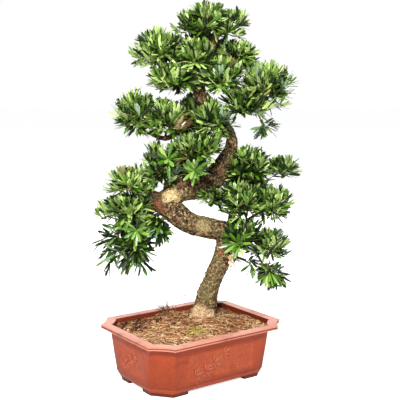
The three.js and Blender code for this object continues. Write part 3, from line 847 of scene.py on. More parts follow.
clods = {
    # crumbs all over, then dark clumps at the back left: count, radius, flatness
    "crumbs": (900, (1.3, 3.4), (0.5, 0.9)), "clumps": (104, (3.5, 6.5), (0.5, 0.8)),
    "field": (180, 135), "clumpAt": ((-112, 34), (86, 22)),  # middle and spread along x and y
    "fewLarge": 2.2, "tilt": 0.4, "raised": 0.25, "narrow": (0.6, 1), "rough": (0.75, 1.25),
    "kinds": (0.36, 0.34, 0.12, 0.18),  # shares of brown, dark, pale and red
    "darkest": rgb(44, 28, 20), "palest": rgb(240, 214, 176),
}


def smallRock():
    clearPick()
    bpy.ops.mesh.primitive_ico_sphere_add(subdivisions=1, radius=1)
    rock = bpy.context.object
    corners = pointsOf(rock)
    faces = [tuple(face.vertices) for face in rock.data.polygons]
    bpy.data.objects.remove(rock)
    return corners, faces


def makeClods(bed):
    # crumbs, clods and chips of bark: one small rock, squashed and turned for each
    corners, faces = smallRock()
    draw = np.random.default_rng(soil["seed"])
    points, allFaces, kinds = [], [], []
    wide, deep = clods["field"]
    for clumped, (count, (small, large), (flat, tall)) in enumerate((clods["crumbs"], clods["clumps"])):
        for _ in range(count):
            x, y = draw.uniform(-wide, wide), draw.uniform(-deep, deep)
            if clumped:
                x, y = (draw.normal(*spread) for spread in clods["clumpAt"])
            radius = small + (large - small) * draw.random() ** clods["fewLarge"]
            place = groundAt(bed, x, y) if inSoil(x, y, radius) else None
            if place is None:
                continue
            turn = Matrix.Rotation(draw.uniform(0, 6.28), 3, "Z")
            turn = turn @ Matrix.Rotation(draw.normal(0, clods["tilt"]), 3, "X")
            size = np.array([1, draw.uniform(*clods["narrow"]), draw.uniform(flat, tall)]) * radius * mm
            rough = corners * size * draw.uniform(*clods["rough"], (len(corners), 1))
            raised = (0, 0, clods["raised"] * radius * mm)
            first = len(points)
            points += list(rough @ np.array(turn).T + np.array(place) + raised)
            allFaces += [tuple(first + i for i in face) for face in faces]
            kinds += [1 if clumped else int(draw.choice(4, p=clods["kinds"]))] * len(faces)
    piece = meshPiece("soilClods", points, allFaces)
    dress(
        piece,
        soilMaterial("brownClod", soil["colour"], soil["dark"], soil["dry"]),
        soilMaterial("darkClod", soil["dark"], clods["darkest"], soil["colour"]),
        soilMaterial("paleClod", soil["dry"], soil["colour"], clods["palest"]),
        soilMaterial("redClod", soil["red"], soil["dark"], soil["dry"]),
    )
    piece.data.polygons.foreach_set("material_index", np.array(kinds, np.int32))
    return piece


straws = {
    "count": 1000, "field": (178, 130), "length": (12, 48), "bend": 0.6, "steps": 3, "margin": 2,
    "radius": (0.3, 0.75), "taper": 0.5, "lift": (0.7, 1.6),
    "thinning": (45, 1.6, 420, -0.5, 0.3),  # straws lie thickest at the front left
    "kinds": (0.5, 0.3, 0.2),  # shares of pale, brown and red
}
# dead twigs on the heap: middles and spreads, then heights, radii and the share of the way to each bend
tuft = {
    "count": 18, "x": (4, 7), "y": (-4, 3), "leanX": (-22, 13), "leanY": (4, 6), "height": (12, 36),
    "radius": (0.8, 1.5), "tip": 0.5, "sunk": 2, "wobble": 3, "bends": (0.35, 0.7, 1),
}
weed = {
    "at": (58, 112), "stem": [(0, 0, -2), (1, 0, 14), (0, 1, 30), (1, 1, 44)], "stemRadii": (0.6, 0.4),
    "bud": [(0, 0, -2), (0, 0, 0.5), (0, 0, 3)], "budRadii": (1.7, 0.8),
}
strawColours = {
    "paleStraw": (rgb(236, 208, 160), rgb(196, 156, 108)),
    "brownStraw": (rgb(150, 104, 66), rgb(96, 62, 40)),
    "redStraw": (rgb(186, 116, 72), rgb(120, 66, 42)),
    "deadTwig": (rgb(150, 108, 74), rgb(74, 50, 34)),
}


def layStraw(bed, draw, x, y):
    # one straw that follows the ground, arched a little over its middle
    length, heading = draw.uniform(*straws["length"]), draw.uniform(0, 2 * math.pi)
    bend = draw.normal(0, straws["bend"])
    least, more = straws["lift"]
    line = []
    for k in range(straws["steps"] + 1):
        share = k / straws["steps"]
        way = heading + bend * share
        place = (x + length * share * math.cos(way), y + length * share * math.sin(way))
        ground = groundAt(bed, *place) if inSoil(*place, straws["margin"]) else None
        if ground is None:
            return None
        rise = (least + draw.random() * more * math.sin(math.pi * share)) * mm
        line.append(np.array(ground) + (0, 0, rise))
    return np.array(line)


def scatterStraws(bed, draw):
    runs, kinds = [], []
    wide, deep = straws["field"]
    grain, slant, fade, low, high = straws["thinning"]
    while len(runs) < straws["count"]:
        x, y = draw.uniform(-wide, wide), draw.uniform(-deep, deep)
        share = noise.noise(Vector((x / grain, y / grain, 3))) - (x + slant * y) / fade
        if share < draw.uniform(low, high):
            continue
        line = layStraw(bed, draw, x, y)
        if line is None:
            continue
        radius = draw.uniform(*straws["radius"]) * mm
        runs.append((line, radius, radius * straws["taper"]))
        kinds.append(int(draw.choice(3, p=straws["kinds"])))
    return runs, kinds


def growTuft(bed, draw):
    heapX, heapY, _, _ = soil["heap"]
    runs = []
    for _ in range(tuft["count"]):
        x, y = heapX + draw.normal(*tuft["x"]), heapY + draw.normal(*tuft["y"])
        start = np.array(groundAt(bed, x, y)) - (0, 0, tuft["sunk"] * mm)
        leanX, leanY = draw.normal(*tuft["leanX"]), draw.normal(*tuft["leanY"])
        lean = np.array([leanX, leanY, draw.uniform(*tuft["height"])]) * mm
        line = [start]
        for share in tuft["bends"]:
            line.append(start + lean * share + draw.normal(0, tuft["wobble"] * mm, 3))
        runs.append((np.array(line), draw.uniform(*tuft["radius"]) * mm, tuft["tip"] * mm))
    return runs


def growWeed(bed):
    # one thin stem with a bud
    stem = np.array(groundAt(bed, *weed["at"])) + np.array(weed["stem"]) * mm
    bud = stem[-1] + np.array(weed["bud"]) * mm
    stemRadii, budRadii = ([radius * mm for radius in weed[kind]] for kind in ("stemRadii", "budRadii"))
    return [(stem, *stemRadii), (bud, *budRadii)]


def makeStraws(bed):
    draw = np.random.default_rng(soil["seed"] + 1)
    runs, kinds = scatterStraws(bed, draw)
    dead = growTuft(bed, draw) + growWeed(bed)
    kinds += [3] * len(dead)
    points, faces, ends = buildTubes(runs + dead, sides=4)
    piece = meshPiece("soilStraws", points, faces)
    for name, (light, dark) in strawColours.items():
        dress(piece, twoToned(name, light, dark, 120)[0])
    index = np.zeros(len(faces), np.int32)
    for kind, first, last in zip(kinds, [0, *ends], ends):
        index[first:last] = kind
    piece.data.polygons.foreach_set("material_index", index)
    return piece


moss = {
    "count": 240, "at": ((-28, 12), (-62, 11)), "lean": 2.4, "height": (2.5, 6), "radius": (0.9, 0.3),
    "sunk": 0.6, "bend": 0.6,
    "colour": rgb(112, 112, 44), "tips": rgb(176, 160, 70),
}


def makeMoss(bed):
    # short green blades in one patch before the trunk
    draw = np.random.default_rng(soil["seed"] + 2)
    acrossPatch, alongPatch = moss["at"]
    thick, thin = (radius * mm for radius in moss["radius"])
    runs = []
    for _ in range(moss["count"]):
        ground = groundAt(bed, draw.normal(*acrossPatch), draw.normal(*alongPatch))
        leanX, leanY = draw.normal(0, moss["lean"]), draw.normal(0, moss["lean"])
        lean = np.array([leanX, leanY, draw.uniform(*moss["height"])]) * mm
        start = np.array(ground) - (0, 0, moss["sunk"] * mm)
        runs.append((np.array([start, start + lean * moss["bend"], start + lean]), thick, thin))
    points, faces, _ = buildTubes(runs, sides=3)
    piece = meshPiece("moss", points, faces)
    dress(piece, twoToned("mossGreen", moss["colour"], moss["tips"], 90, rough=0.9)[0])
    return piece


soilPiece = makeSoil()
clodPiece, strawPiece, mossPiece = makeClods(soilPiece), makeStraws(soilPiece), makeMoss(soilPiece)
dress(soilPiece, soilMaterial("pottingSoil", soil["colour"], soil["dark"], soil["dry"]))
finishPiece(soilPiece, ["soil"])
for piece in (clodPiece, strawPiece, mossPiece):
    finishPiece(piece)
print("soil made")


# stations of the trunk's four limbs, in the tree's own frame: place and diameter
trunkLimbs = {
    "lower": [
        (1, 0, -14, 74), (7, 0, 16, 61), (15, 0, 60, 56),
        (28, 2, 97, 48), (50, 6, 150, 49), (69, 6, 221, 55),
    ],
    "cross": [(69, 6, 221, 55), (25, -4, 232, 56), (-35, -12, 250, 57), (-98, -18, 300, 67)],
    "rise": [
        (-98, -18, 300, 67), (-60, -8, 330, 56), (-4, 4, 338, 55), (42, 12, 375, 61), (73, 17, 430, 38),
    ],
    "top": [
        (73, 17, 430, 38), (74, 18, 468, 28), (17, 8, 547, 36), (-9, 2, 587, 35), (4, 0, 628, 23),
        (26, 2, 697, 19), (36, 4, 745, 10),
    ],
}
# each bough: its two diameters and its line
boughLimbs = {
    "high_left": (16, 8, [(6, 0, 632), (-32, -2, 652), (-62, -4, 668)]),
    "shoulder": (13, 7, [(12, 0, 650), (39, 5, 668), (60, 9, 676)]),
    "right_pad": (19, 9, [(0, 0, 612), (39, 0, 620), (72, -2, 602), (116, -6, 574)]),
    "right_pad_low": (10, 7, [(66, -2, 605), (84, -12, 582), (93, -18, 565)]),
    "right_drop": (7, 4, [(106, -6, 580), (136, -14, 536), (147, -17, 513)]),
    "mid_left": (22, 9, [(17, 8, 547), (-27, -6, 510), (-92, -14, 466), (-143, -8, 482)]),
    "mid_left_fork": (12, 8, [(-40, -9, 500), (-58, -21, 491), (-72, -26, 489)]),
    "mid_low": (13, 7, [(-58, -6, 334), (-63, -15, 385), (-50, -37, 421)]),
    "knee_back": (13, 7, [(-32, -2, 334), (-34, 34, 350), (-36, 44, 371)]),
    "low_left_mid": (18, 10, [(-98, -18, 299), (-132, -18, 301), (-152, -18, 296)]),
    "low_left_top": (15, 8, [(-98, -18, 306), (-122, -14, 325), (-138, -11, 336)]),
    "low_left_drop": (16, 9, [(-98, -18, 294), (-136, -15, 276), (-154, -13, 249)]),
    "low_left_back": (14, 8, [(-98, -18, 296), (-122, 14, 290), (-142, 36, 283)]),
    "right_tip": (14, 7, [(45, 12, 378), (100, 6, 366), (150, 3, 368), (175, 1, 377)]),
    "right_low": (17, 9, [(69, 6, 224), (88, -4, 250), (99, -15, 276)]),
    "right_low_tip": (13, 8, [(69, 6, 216), (112, 0, 250), (143, -3, 273)]),
    "right_back": (14, 8, [(69, 6, 221), (82, 40, 258), (93, 56, 294)]),
    "right_fall": (14, 8, [(69, 6, 208), (102, 4, 212), (128, 3, 203)]),
    "right_fall_tip": (9, 6, [(104, 4, 212), (134, 2, 178), (154, -1, 142)]),
}
bark = {
    "step": 5, "knobStep": 4, "roundness": 4, "voxel": 1.8, "inset": 0.97, "smoothTo": 60,
    "evened": (0.5, 4),  # factor and times
    "collar": (1.5, 22, 9),  # how much thicker a bough is at its fork, for how far, and how soon it fades
    # the root flare's buttresses: direction, reach and thickness
    "roots": [(12, 38, 15), (75, 35, 13), (150, 37, 15), (205, 39, 17), (262, 37, 16), (322, 37, 14)],
    # each is drawn from the trunk out: middle, height, distance and share of its thickness
    "rootRun": [(9, 34, 16, 1), (4, 12, 28, 1.15), (1, -6, None, 0.9)],
    # knobs and cut stubs: a line into the wood, and its two diameters
    "knobs": [
        ([(2, -2, 44), (-6, -8, 58), (-8, -9, 70)], 20, 13), ([(-76, -22, 322), (-82, -40, 330)], 34, 20),
        ([(60, 4, 196), (46, -14, 190)], 30, 18), ([(70, 4, 236), (80, -26, 300), (84, -38, 328)], 18, 15),
        ([(20, -6, 112), (8, -16, 116)], 20, 12), ([(-20, -8, 244), (-24, -28, 262)], 26, 18),
        ([(52, 10, 384), (66, 0, 396)], 40, 26),
    ],
    # heights of the relief, and sizes of its noise in metres
    "lumps": 3.0, "lumpSizes": (0.036, 0.016), "furrows": 2.2, "plateLength": 15, "plateTurns": 9,
    "cracks": 0.0072, "grain": 1.3, "grainSize": 0.0036, "fullFrom": 22, "thinFrom": (16, 6), "apart": 50,
    "colour": rgb(120, 92, 62), "dark": rgb(42, 28, 18), "pale": rgb(182, 156, 108),
    "rust": rgb(146, 80, 46), "moss": rgb(104, 104, 62), "sand": rgb(206, 172, 132),
    "cut": rgb(222, 180, 146), "bare": rgb(212, 186, 134), "twig": rgb(92, 62, 44),
    "rough": 0.9, "gloss": 0.2, "bump": ((230, 0.2, 0.8, 9, 1), 0.9, 0.0025), "thinTint": 0.65,
    # the relief's range from dark to the bark's colour, and pale flakes on what stands out
    "lit": (0.36, 0.6), "flakes": (150, 0.5, 0.56, 9, 2), "flaked": (0.4, 0.55, 0.1, 0.95),
    "sunk": 4.5,  # how far below the soil's top the trunk is cut off
}


def limbStations(name):
    thick, thin, line = boughLimbs[name]
    return [(*p, thick + (thin - thick) * i / (len(line) - 1)) for i, p in enumerate(line)]


trunkRuns = {name: smoothRun(stations, bark["step"]) for name, stations in trunkLimbs.items()}
boughRuns = {name: smoothRun(limbStations(name), bark["step"]) for name in boughLimbs}


def addSpline(curve, run):
    # one limb as a line of points whose radii are the limb's own
    spline = curve.splines.new("POLY")
    spline.points.add(len(run) - 1)
    places = toWorld(run[:, :3])
    for point, place, radius in zip(spline.points, places, run[:, 3]):
        point.co = (*place, 1)
        point.radius = radius * mm


def lengthsAlong(run):
    # how far each of a run's points lies from its first
    return np.concatenate([[0], np.cumsum(np.linalg.norm(np.diff(run[:, :3], axis=0), axis=1))])


def rootStations(angle, reach, thick):
    way = np.array([math.cos(math.radians(angle)), math.sin(math.radians(angle)), 0])
    stations = []
    for x, z, out, share in bark["rootRun"]:
        stations.append((*(np.array([x, 0, z]) + way * (out or reach)), thick * share))
    return stations


def makeWood():
    curve = bpy.data.curves.new("limbs", "CURVE")
    curve.dimensions = "3D"
    curve.bevel_depth = 1
    curve.bevel_resolution = bark["roundness"]
    curve.use_fill_caps = True
    wholeTrunk = np.vstack([run if n == 0 else run[1:] for n, run in enumerate(trunkRuns.values())])
    wholeTrunk[:, 3] *= bark["inset"]
    addSpline(curve, wholeTrunk)
    thicker, collarLength, fade = bark["collar"]
    for run in boughRuns.values():
        collared = run.copy()
        past = np.maximum(lengthsAlong(run) - collarLength, 0)
        collared[:, 3] *= 1 + (thicker - 1) * np.exp(-past / fade)
        addSpline(curve, collared)
    for root in bark["roots"]:
        addSpline(curve, smoothRun(rootStations(*root), bark["step"]))
    for line, thick, thin in bark["knobs"]:
        sizes = np.linspace(thick, thin, len(line))
        addSpline(curve, smoothRun([(*p, size) for p, size in zip(line, sizes)], bark["knobStep"]))
    pick(linkPiece("limbs", curve))
    bpy.ops.object.convert(target="MESH")
    piece = bpy.context.object
    piece.name = piece.data.name = "trunkAndBoughs"
    skin = piece.modifiers.new("skin", "REMESH")
    skin.mode = "VOXEL"
    skin.voxel_size = bark["voxel"] * mm
    even = piece.modifiers.new("even", "SMOOTH")
    even.factor, even.iterations = bark["evened"]
    applyModifiers(piece)
    return piece


def carveBark(piece):
    # lumps all over, plates and furrows that run along each limb, and a fine grain; thin limbs get less
    samples, stretch = [], 0.0
    for run in [*trunkRuns.values(), *boughRuns.values()]:
        along = lengthsAlong(run)
        samples += [(p, r, stretch + s) for p, r, s in zip(toWorld(run[:, :3]), run[:, 3], along)]
        stretch += along[-1] + bark["apart"]
    finder = finderOf([place for place, _, _ in samples])
    places, normals = pointsOf(piece), pointsOf(piece, "normal")
    lift, fine, thin = np.zeros((3, len(places)))
    coarse, medium = bark["lumpSizes"]
    turns, plateLength = bark["plateTurns"], bark["plateLength"]
    thinFrom, thinFade = bark["thinFrom"]
    for i, place in enumerate(places):
        point = Vector(place)
        _, index, _ = finder.find(point)
        core, radius, s = samples[index]
        out = (point - Vector(core)).normalized()
        size = min(1.0, radius / bark["fullFrom"])
        thin[i] = np.clip((thinFrom - radius) / thinFade, 0, 1)
        lump = noise.noise(point / coarse) + 0.5 * noise.noise(point / medium + Vector((5, 0, 0)))
        ridge = 1 - 2.4 * abs(noise.noise(out * turns + Vector((s / plateLength, 0, 0))))
        crack = noise.noise(point / bark["cracks"] + Vector((9, 3, 1)))
        grain = noise.noise(point / bark["grainSize"] + Vector((2, 7, 1)))
        fine[i] = 0.5 * ridge - 0.25 + 0.9 * crack + 0.5 * grain  # for the colour, on limbs of all sizes
        plates = bark["furrows"] * (0.6 * ridge - 0.3 + 0.8 * crack) + bark["grain"] * grain
        lift[i] = size * (bark["lumps"] * lump + plates)
    setPoints(piece, places + normals * (lift * mm)[:, None])
    markPoints(piece, "relief", np.clip(0.5 + 0.55 * fine, 0, 1))
    markPoints(piece, "thin", thin)


def cutAtSoil(piece):
    pick(piece)
    bpy.ops.object.mode_set(mode="EDIT")
    bpy.ops.mesh.select_all(action="SELECT")
    level = (soil["crown"] - bark["sunk"]) * mm
    bpy.ops.mesh.bisect(plane_co=(0, 0, level), plane_no=(0, 0, 1), use_fill=True, clear_inner=True)
    bpy.ops.object.mode_set(mode="OBJECT")


# patches on the bark: place in the tree's frame, radius, soft edge and strength
barkSpots = {
    "bare": [
        ((-80, -46, 330), 24, 12, 0.9), ((-94, -46, 312), 12, 10, 0.7), ((0, -30, 244), 20, 16, 0.35),
        ((-64, -34, 318), 14, 10, 0.7), ((40, -16, 186), 12, 10, 0.4), ((4, -20, 70), 34, 30, 0.1),
        ((20, -20, 130), 30, 30, 0.1),
    ],
    "rust": [
        ((-112, -40, 298), 16, 12, 0.55), ((46, -18, 174), 14, 12, 0.6), ((-104, -46, 316), 8, 8, 0.5),
    ],
    "moss": [((30, -24, 96), 26, 26, 0.15), ((14, -24, 56), 16, 20, 0.15)],
    "sand": [((0, -14, 4), 34, 14, 0.95), ((0, 22, 2), 28, 12, 0.9)],
    "cut": [((84, -46, 332), 9, 4, 1.0)],
    "dark": [
        ((-70, -44, 336), 3, 2, 1.0), ((-84, -48, 322), 3.5, 2, 1.0), ((-60, -38, 322), 2.5, 2, 1.0),
        ((66, 0, 420), 24, 18, 0.4), ((60, -12, 206), 9, 8, 0.6), ((-2, -8, 596), 30, 26, 0.6),
        ((-40, -30, 232), 18, 22, 0.35), ((30, -14, 366), 20, 20, 0.4),
    ],
}
# layers of colour under and over those: colour, strength, the patches' size, range, detail and shift
barkUnder = [("dark", 0.85, 210, 0.53, 0.59, 9, 8), ("moss", 0.45, 22, 0.5, 0.66, 6, 5)]
barkOver = [("dark", 0.85, 300, 0.55, 0.61, 6, 4), ("pale", 0.7, 260, 0.6, 0.66, 6, 12)]


def barkMaterial():
    material, web, shader = newMaterial("bark", Roughness=bark["rough"], Specular_IOR_Level=bark["gloss"])
    relief = attribute(web, "relief")
    base = mixColour(web, ranged(web, relief, *bark["lit"], 0, 1), bark["dark"], bark["colour"])
    flakes = scaled(web, patches(web, *bark["flakes"]), ranged(web, relief, *bark["flaked"]))
    base = mixColour(web, flakes, base, bark["pale"])
    base = addLayers(web, base, barkUnder, bark)
    base = mixColour(web, scaled(web, attribute(web, "thin"), bark["thinTint"]), base, bark["twig"])
    for colour, spots in barkSpots.items():
        for place, radius, edge, strength in spots:
            mask = spot(web, toWorld([place])[0], radius * mm, edge * mm)
            base = mixColour(web, scaled(web, mask, strength), base, bark[colour])
    base = addLayers(web, base, barkOver, bark)
    web.links.new(base, shader.inputs["Base Color"])
    bumps, strength, distance = bark["bump"]
    addBump(web, shader, patches(web, *bumps), strength, distance)
    return material


stub = {
    "fibres": 11, "at": (66, -8, 163), "spread": 4, "length": (16, 40), "radius": (2.2, 4.2), "tip": 0.8,
    # the way that the fibres point along each axis, and how it varies
    "way": ((0.8, 0.25), (-0.3, 0.2), (-0.35, 0.5)), "bend": (0.55, 1.5), "droop": -4, "seed": 3,
    "pale": rgb(248, 228, 190), "brown": rgb(214, 180, 132),
}


def makeTornStub():
    # pale torn fibres where a small branch was pulled off, right of the lower trunk
    draw = np.random.default_rng(stub["seed"])
    bendAt, bendSpread = stub["bend"]
    runs = []
    for _ in range(stub["fibres"]):
        start = np.array(stub["at"]) + draw.normal(0, stub["spread"], 3)
        way = unit(np.array([main + draw.normal(0, spread) for main, spread in stub["way"]]))
        length = draw.uniform(*stub["length"])
        middle = start + way * length * bendAt + draw.normal(0, bendSpread, 3)
        end = start + way * length + (0, 0, stub["droop"])
        runs.append((np.array([start, middle, end]), draw.uniform(*stub["radius"]), stub["tip"]))
    points, faces, _ = buildTubes(runs)
    piece = meshPiece("tornStub", toWorld(points), faces)
    dress(piece, twoToned("tornWood", stub["pale"], stub["brown"], 90, 6, 0.45, 0.85)[0])
    return piece


woodPiece = makeWood()
carveBark(woodPiece)
cutAtSoil(woodPiece)
dress(woodPiece, barkMaterial())
smoothTo(woodPiece, bark["smoothTo"])
finishPiece(woodPiece, [n for n in nodeNames if n.startswith(("trunk_", "bough_"))])
finishPiece(makeTornStub())
print("trunk and boughs made")


# each mass of leaves: centre, reach level and upright, the bough or point that carries it, and what it has
# of its own: the tone of its greens from light to dark, whose darker values on low masses and masses at
# the back are partly painted shade, the length of its leaves, how thickly it is set, the share of opened
# sprays, the shares of blue, olive and bronze ones, how far its shoots hang, and one open shoot that faces
# forward: place, leaf scale, green, and how far it opens
masses = {
    "apex": ((12, -10, 757), (70, 46), "trunk_top", {}),
    "apex_left": ((-39, -5, 750), (42, 40), (26, 2, 700), {}),
    "apex_right": ((76, -5, 748), (45, 42), (29, 3, 712), {}),
    "high_left": ((-112, -5, 684), (73, 60), "high_left", {}),
    "high_left_low": ((-81, -30, 617), (77, 42), (-9, 2, 588), {}),
    "crown_front": ((-16, -55, 667), (51, 47), (16, 1, 664), {"tone": 0.4}),
    "crown_right": ((54, -36, 618), (62, 56), (4, 0, 628), {"tone": 0.5}),
    "crown_back": ((-7, 65, 685), (73, 57), (20, 1, 678), {"tone": 1.7}),
    "shoulder": ((88, 13, 663), (62, 47), "shoulder", {}),
    "right_pad": ((162, -6, 596), (80, 70), "right_pad", {"tone": 1.3}),
    "right_pad_low": ((112, -25, 551), (72, 45), "right_pad_low", {"tone": 1.5}),
    "right_drop": ((155, -20, 495), (35, 25), "right_drop", {
        "tone": 2.2, "leafScale": 0.95, "density": 0.45, "hang": -0.5,
    }),
    "mid_left_tip": ((-169, -5, 529), (66, 66), "mid_left", {}),
    "mid_left": ((-94, -30, 513), (63, 58), "mid_left_fork", {}),
    "mid_front": ((23, -60, 511), (59, 57), (47, 13, 506), {"tone": 1.1}),
    "mid_back": ((-33, 65, 509), (79, 63), (32, 10, 527), {"tone": 1.9}),
    "mid_low": ((-8, -60, 444), (78, 42), "mid_low", {"tone": 1.6}),
    "left_shelf": ((-108, -16, 400), (62, 64), (-84, -14, 322), {
        "tone": 2.1, "leafScale": 0.95, "rosetteShare": 0.45,
        "openShoot": ((-86, -66, 415), 1.15, 3, 72),
    }),
    "knee_back": ((-42, 72, 396), (78, 54), "knee_back", {"tone": 2.1}),
    "knee_sprig": ((-16, -75, 386), (35, 32), (-6, 3, 339), {
        "tone": 1.9, "leafScale": 1.05, "openShoot": ((-21, -100, 392), 1.0, 3, 70),
    }),
    "low_left_top": ((-186, -5, 353), (72, 44), "low_left_top", {
        "tone": 0.3, "leafScale": 0.88, "oddShares": (0.14, 0.05, 0.02),
    }),
    "low_left_mid": ((-201, -20, 283), (84, 36), "low_left_mid", {
        "tone": 0.5, "leafScale": 1.0, "oddShares": (0.16, 0.05, 0.01),
    }),
    "low_left_drop": ((-193, -10, 187), (91, 78), "low_left_drop", {
        "tone": 3.0, "leafScale": 1.08, "density": 0.4, "rosetteShare": 0.7, "hang": -0.3,
        "openShoot": ((-163, -80, 242), 1.0, 3, 70),
    }),
    "low_left_back": ((-178, 75, 255), (72, 70), "low_left_back", {
        "tone": 2.6, "leafScale": 1.05, "density": 0.7, "rosetteShare": 0.5,
    }),
    "knee_low": ((-116, -40, 240), (38, 38), (-86, -17, 288), {
        "tone": 2.6, "leafScale": 1.05, "density": 0.8, "rosetteShare": 0.6, "hang": -0.35,
    }),
    "right_mid": ((124, -4, 388), (64, 57), (64, 16, 413), {"tone": 1.8}),
    "right_tip": ((209, 0, 384), (49, 36), "right_tip", {"tone": 1.3, "density": 0.8}),
    "right_low_in": ((26, -55, 314), (45, 28), (24, 9, 358), {}),
    "right_low": ((98, -32, 308), (69, 51), "right_low", {"leafScale": 0.88}),
    "right_low_tip": ((181, -5, 296), (62, 54), "right_low_tip", {"leafScale": 0.88}),
    "right_back": ((114, 85, 335), (72, 64), "right_back", {"tone": 1.7}),
    "bend_front": ((100, -50, 218), (56, 48), (62, 7, 199), {
        "tone": 2.9, "leafScale": 1.05, "rosetteShare": 0.5,
        "openShoot": ((88, -92, 211), 1.05, 3, 66),
    }),
    "bend_drop": ((121, -45, 153), (28, 36), (52, 6, 168), {
        "tone": 2.6, "leafScale": 0.85, "density": 0.5, "hang": -0.7,
    }),
    "right_fall": ((175, 0, 185), (62, 49), "right_fall", {
        "tone": 2.2, "leafScale": 0.88, "density": 0.62, "oddShares": (0.18, 0.03, 0.01),
    }),
    "right_fall_tip": ((181, -5, 115), (47, 39), "right_fall_tip", {
        "tone": 2.6, "leafScale": 0.85, "density": 0.6, "hang": -0.35,
    }),
}
# the greens from light to dark, partly the same leaf painted as lit and in shade and partly its own
# spread, then the odd ones: the upper face and the underside of a leaf
greens = {
    "lime": (rgb(176, 202, 114), rgb(168, 190, 116)),
    "fresh": (rgb(146, 174, 84), rgb(146, 168, 92)),
    "middle": (rgb(108, 148, 46), rgb(122, 150, 62)),
    "deep": (rgb(64, 106, 12), rgb(82, 116, 28)),
    "dark": (rgb(18, 38, 3), rgb(26, 46, 8)),
    "blue": (rgb(116, 146, 104), rgb(132, 156, 122)),
    "olive": (rgb(146, 146, 70), rgb(144, 144, 86)),
    "bronze": (rgb(150, 128, 80), rgb(150, 132, 96)),
}
plainGreens = 5
foliage = {
    # what a mass has where it names nothing of its own
    "tone": 0.8, "leafScale": 0.9, "density": 1, "rosetteShare": 0.2, "oddShares": (0.05, 0.03, 0.004),
    "hang": None, "openShoot": None,
    "perArea": 460, "inner": 0.8, "innerTurn": 2, "outerTurn": 1, "uneven": 0.12, "seed": (101, 17),
    "perTwig": 4, "twigShare": 0.42, "straightOn": 5, "stemReach": 0.85,
    "forks": (0.75, 0.22), "sag": -0.06, "firstFork": 0.3,
    "stem": (4.6, 3.4), "twig": (2.3, 1.7), "shoot": (1.3, 0.8),  # radii at the two ends
}


def own(name, kind):
    return masses[name][3].get(kind, foliage[kind])


def greenAt(tone):
    return int(np.clip(round(tone), 0, plainGreens - 1))


class Space:
    # a mass's own room: a flattened ball, cut by a plane halfway to each of its neighbours
    def __init__(self, name):
        place, (level, upright), _, _ = masses[name]
        self.centre = np.array(place, float)
        self.reach = np.array([level, level, upright], float)
        ways, limits = [], []
        for other, (place, (level, upright), _, _) in masses.items():
            if other == name:
                continue
            apart = np.array(place, float) - self.centre
            gap = np.linalg.norm(apart)
            way = apart / gap
            mine = 1 / np.linalg.norm(way / self.reach)
            theirs = 1 / np.linalg.norm(way / np.array([level, level, upright]))
            ways.append(way)
            limits.append(gap * mine / (mine + theirs))
        self.ways, self.limits = np.array(ways), np.array(limits)

    def room(self, point, way, over=1.0, cross=0.0):
        p, d = (point - self.centre) / self.reach, way / self.reach
        a, b, c = d @ d, p @ d, p @ p - over * over
        far = 0.0 if c > 0 else (-b + math.sqrt(b * b - a * c)) / a
        speeds = self.ways @ way
        meeting = speeds > 1e-6
        if meeting.any():
            gaps = self.limits[meeting] + cross - self.ways[meeting] @ (point - self.centre)
            far = min(far, (gaps / speeds[meeting]).min())
        return far


def evenDirections(count, turn):
    k = np.arange(count)
    level = 1 - 2 * (k + 0.5) / count
    ring = np.sqrt(1 - level ** 2)
    angle = turn + k * goldenAngle
    return np.stack([ring * np.cos(angle), ring * np.sin(angle), level], 1)


limbCores = np.vstack([*trunkRuns.values(), *boughRuns.values()])
limbFinder = finderOf(limbCores[:, :3])


def inWood(point, margin=0.0):
    _, index, apart = limbFinder.find(Vector(point))
    return apart < limbCores[index, 3] + margin


def stemStart(carrier):
    # where a mass's stem starts, and the way on from its bough's end
    if isinstance(carrier, str):
        run = trunkRuns["top"] if carrier == "trunk_top" else boughRuns[carrier]
        return run[-1, :3], run[-1, :3] - run[-2, :3]
    return np.array(carrier, float), None


openShoot = {
    "leaves": 11, "length": 48, "width": 8.4, "shorter": 0.03, "lengths": (0.75, 1.1),
    "closing": 0.05, "spacing": 1.1, "heading": (0.25, -0.1, 0.5), "bow": (0, 6, -4), "radii": (1.5, 1.1),
    "uneven": 0.1, "scatter": 5, "faceScatter": 0.25, "curl": (-0.1, 0.06), "shade": (-0.3, 0.6),
}


def growOpenShoot(name, twigs, draw, leaves, wood):
    # one shoot that ends facing forward, its leaves opened flat round it
    place, size, colour, opened = own(name, "openShoot")
    place = np.array(place, float)
    sway, low, high = openShoot["heading"]
    fork = min((twig["tip"] for twig in twigs), key=lambda tip: np.linalg.norm(tip - place))
    axis = unit(np.array([draw.normal(0, sway), -1.0, draw.uniform(low, high)]))
    middle = (fork + place) / 2 + np.array(openShoot["bow"])
    wood.append((np.array([fork, middle, place]), *openShoot["radii"]))
    side = unit(np.cross(axis, [0.0, 0.0, 1.0]))
    third = np.cross(side, axis)
    for k in range(openShoot["leaves"]):
        angle = k * goldenAngle + draw.normal(0, openShoot["uneven"])
        turned = opened * (1 - openShoot["closing"] * k) + draw.normal(0, openShoot["scatter"])
        turned = math.radians(turned)
        out = side * math.cos(angle) + third * math.sin(angle)
        way = axis * math.cos(turned) + out * math.sin(turned)
        length = openShoot["length"] * size * (1 - openShoot["shorter"] * k)
        length *= draw.uniform(*openShoot["lengths"])
        face = unit(axis - way * (axis @ way) + draw.normal(0, openShoot["faceScatter"], 3))
        face = unit(face - way * (face @ way))
        shade = greenAt(colour + draw.normal(*openShoot["shade"]))
        start = place + axis * k * openShoot["spacing"]
        curl = draw.normal(*openShoot["curl"])
        leaves.append((shade, *start, *way, *face, length, openShoot["width"] * size, curl))


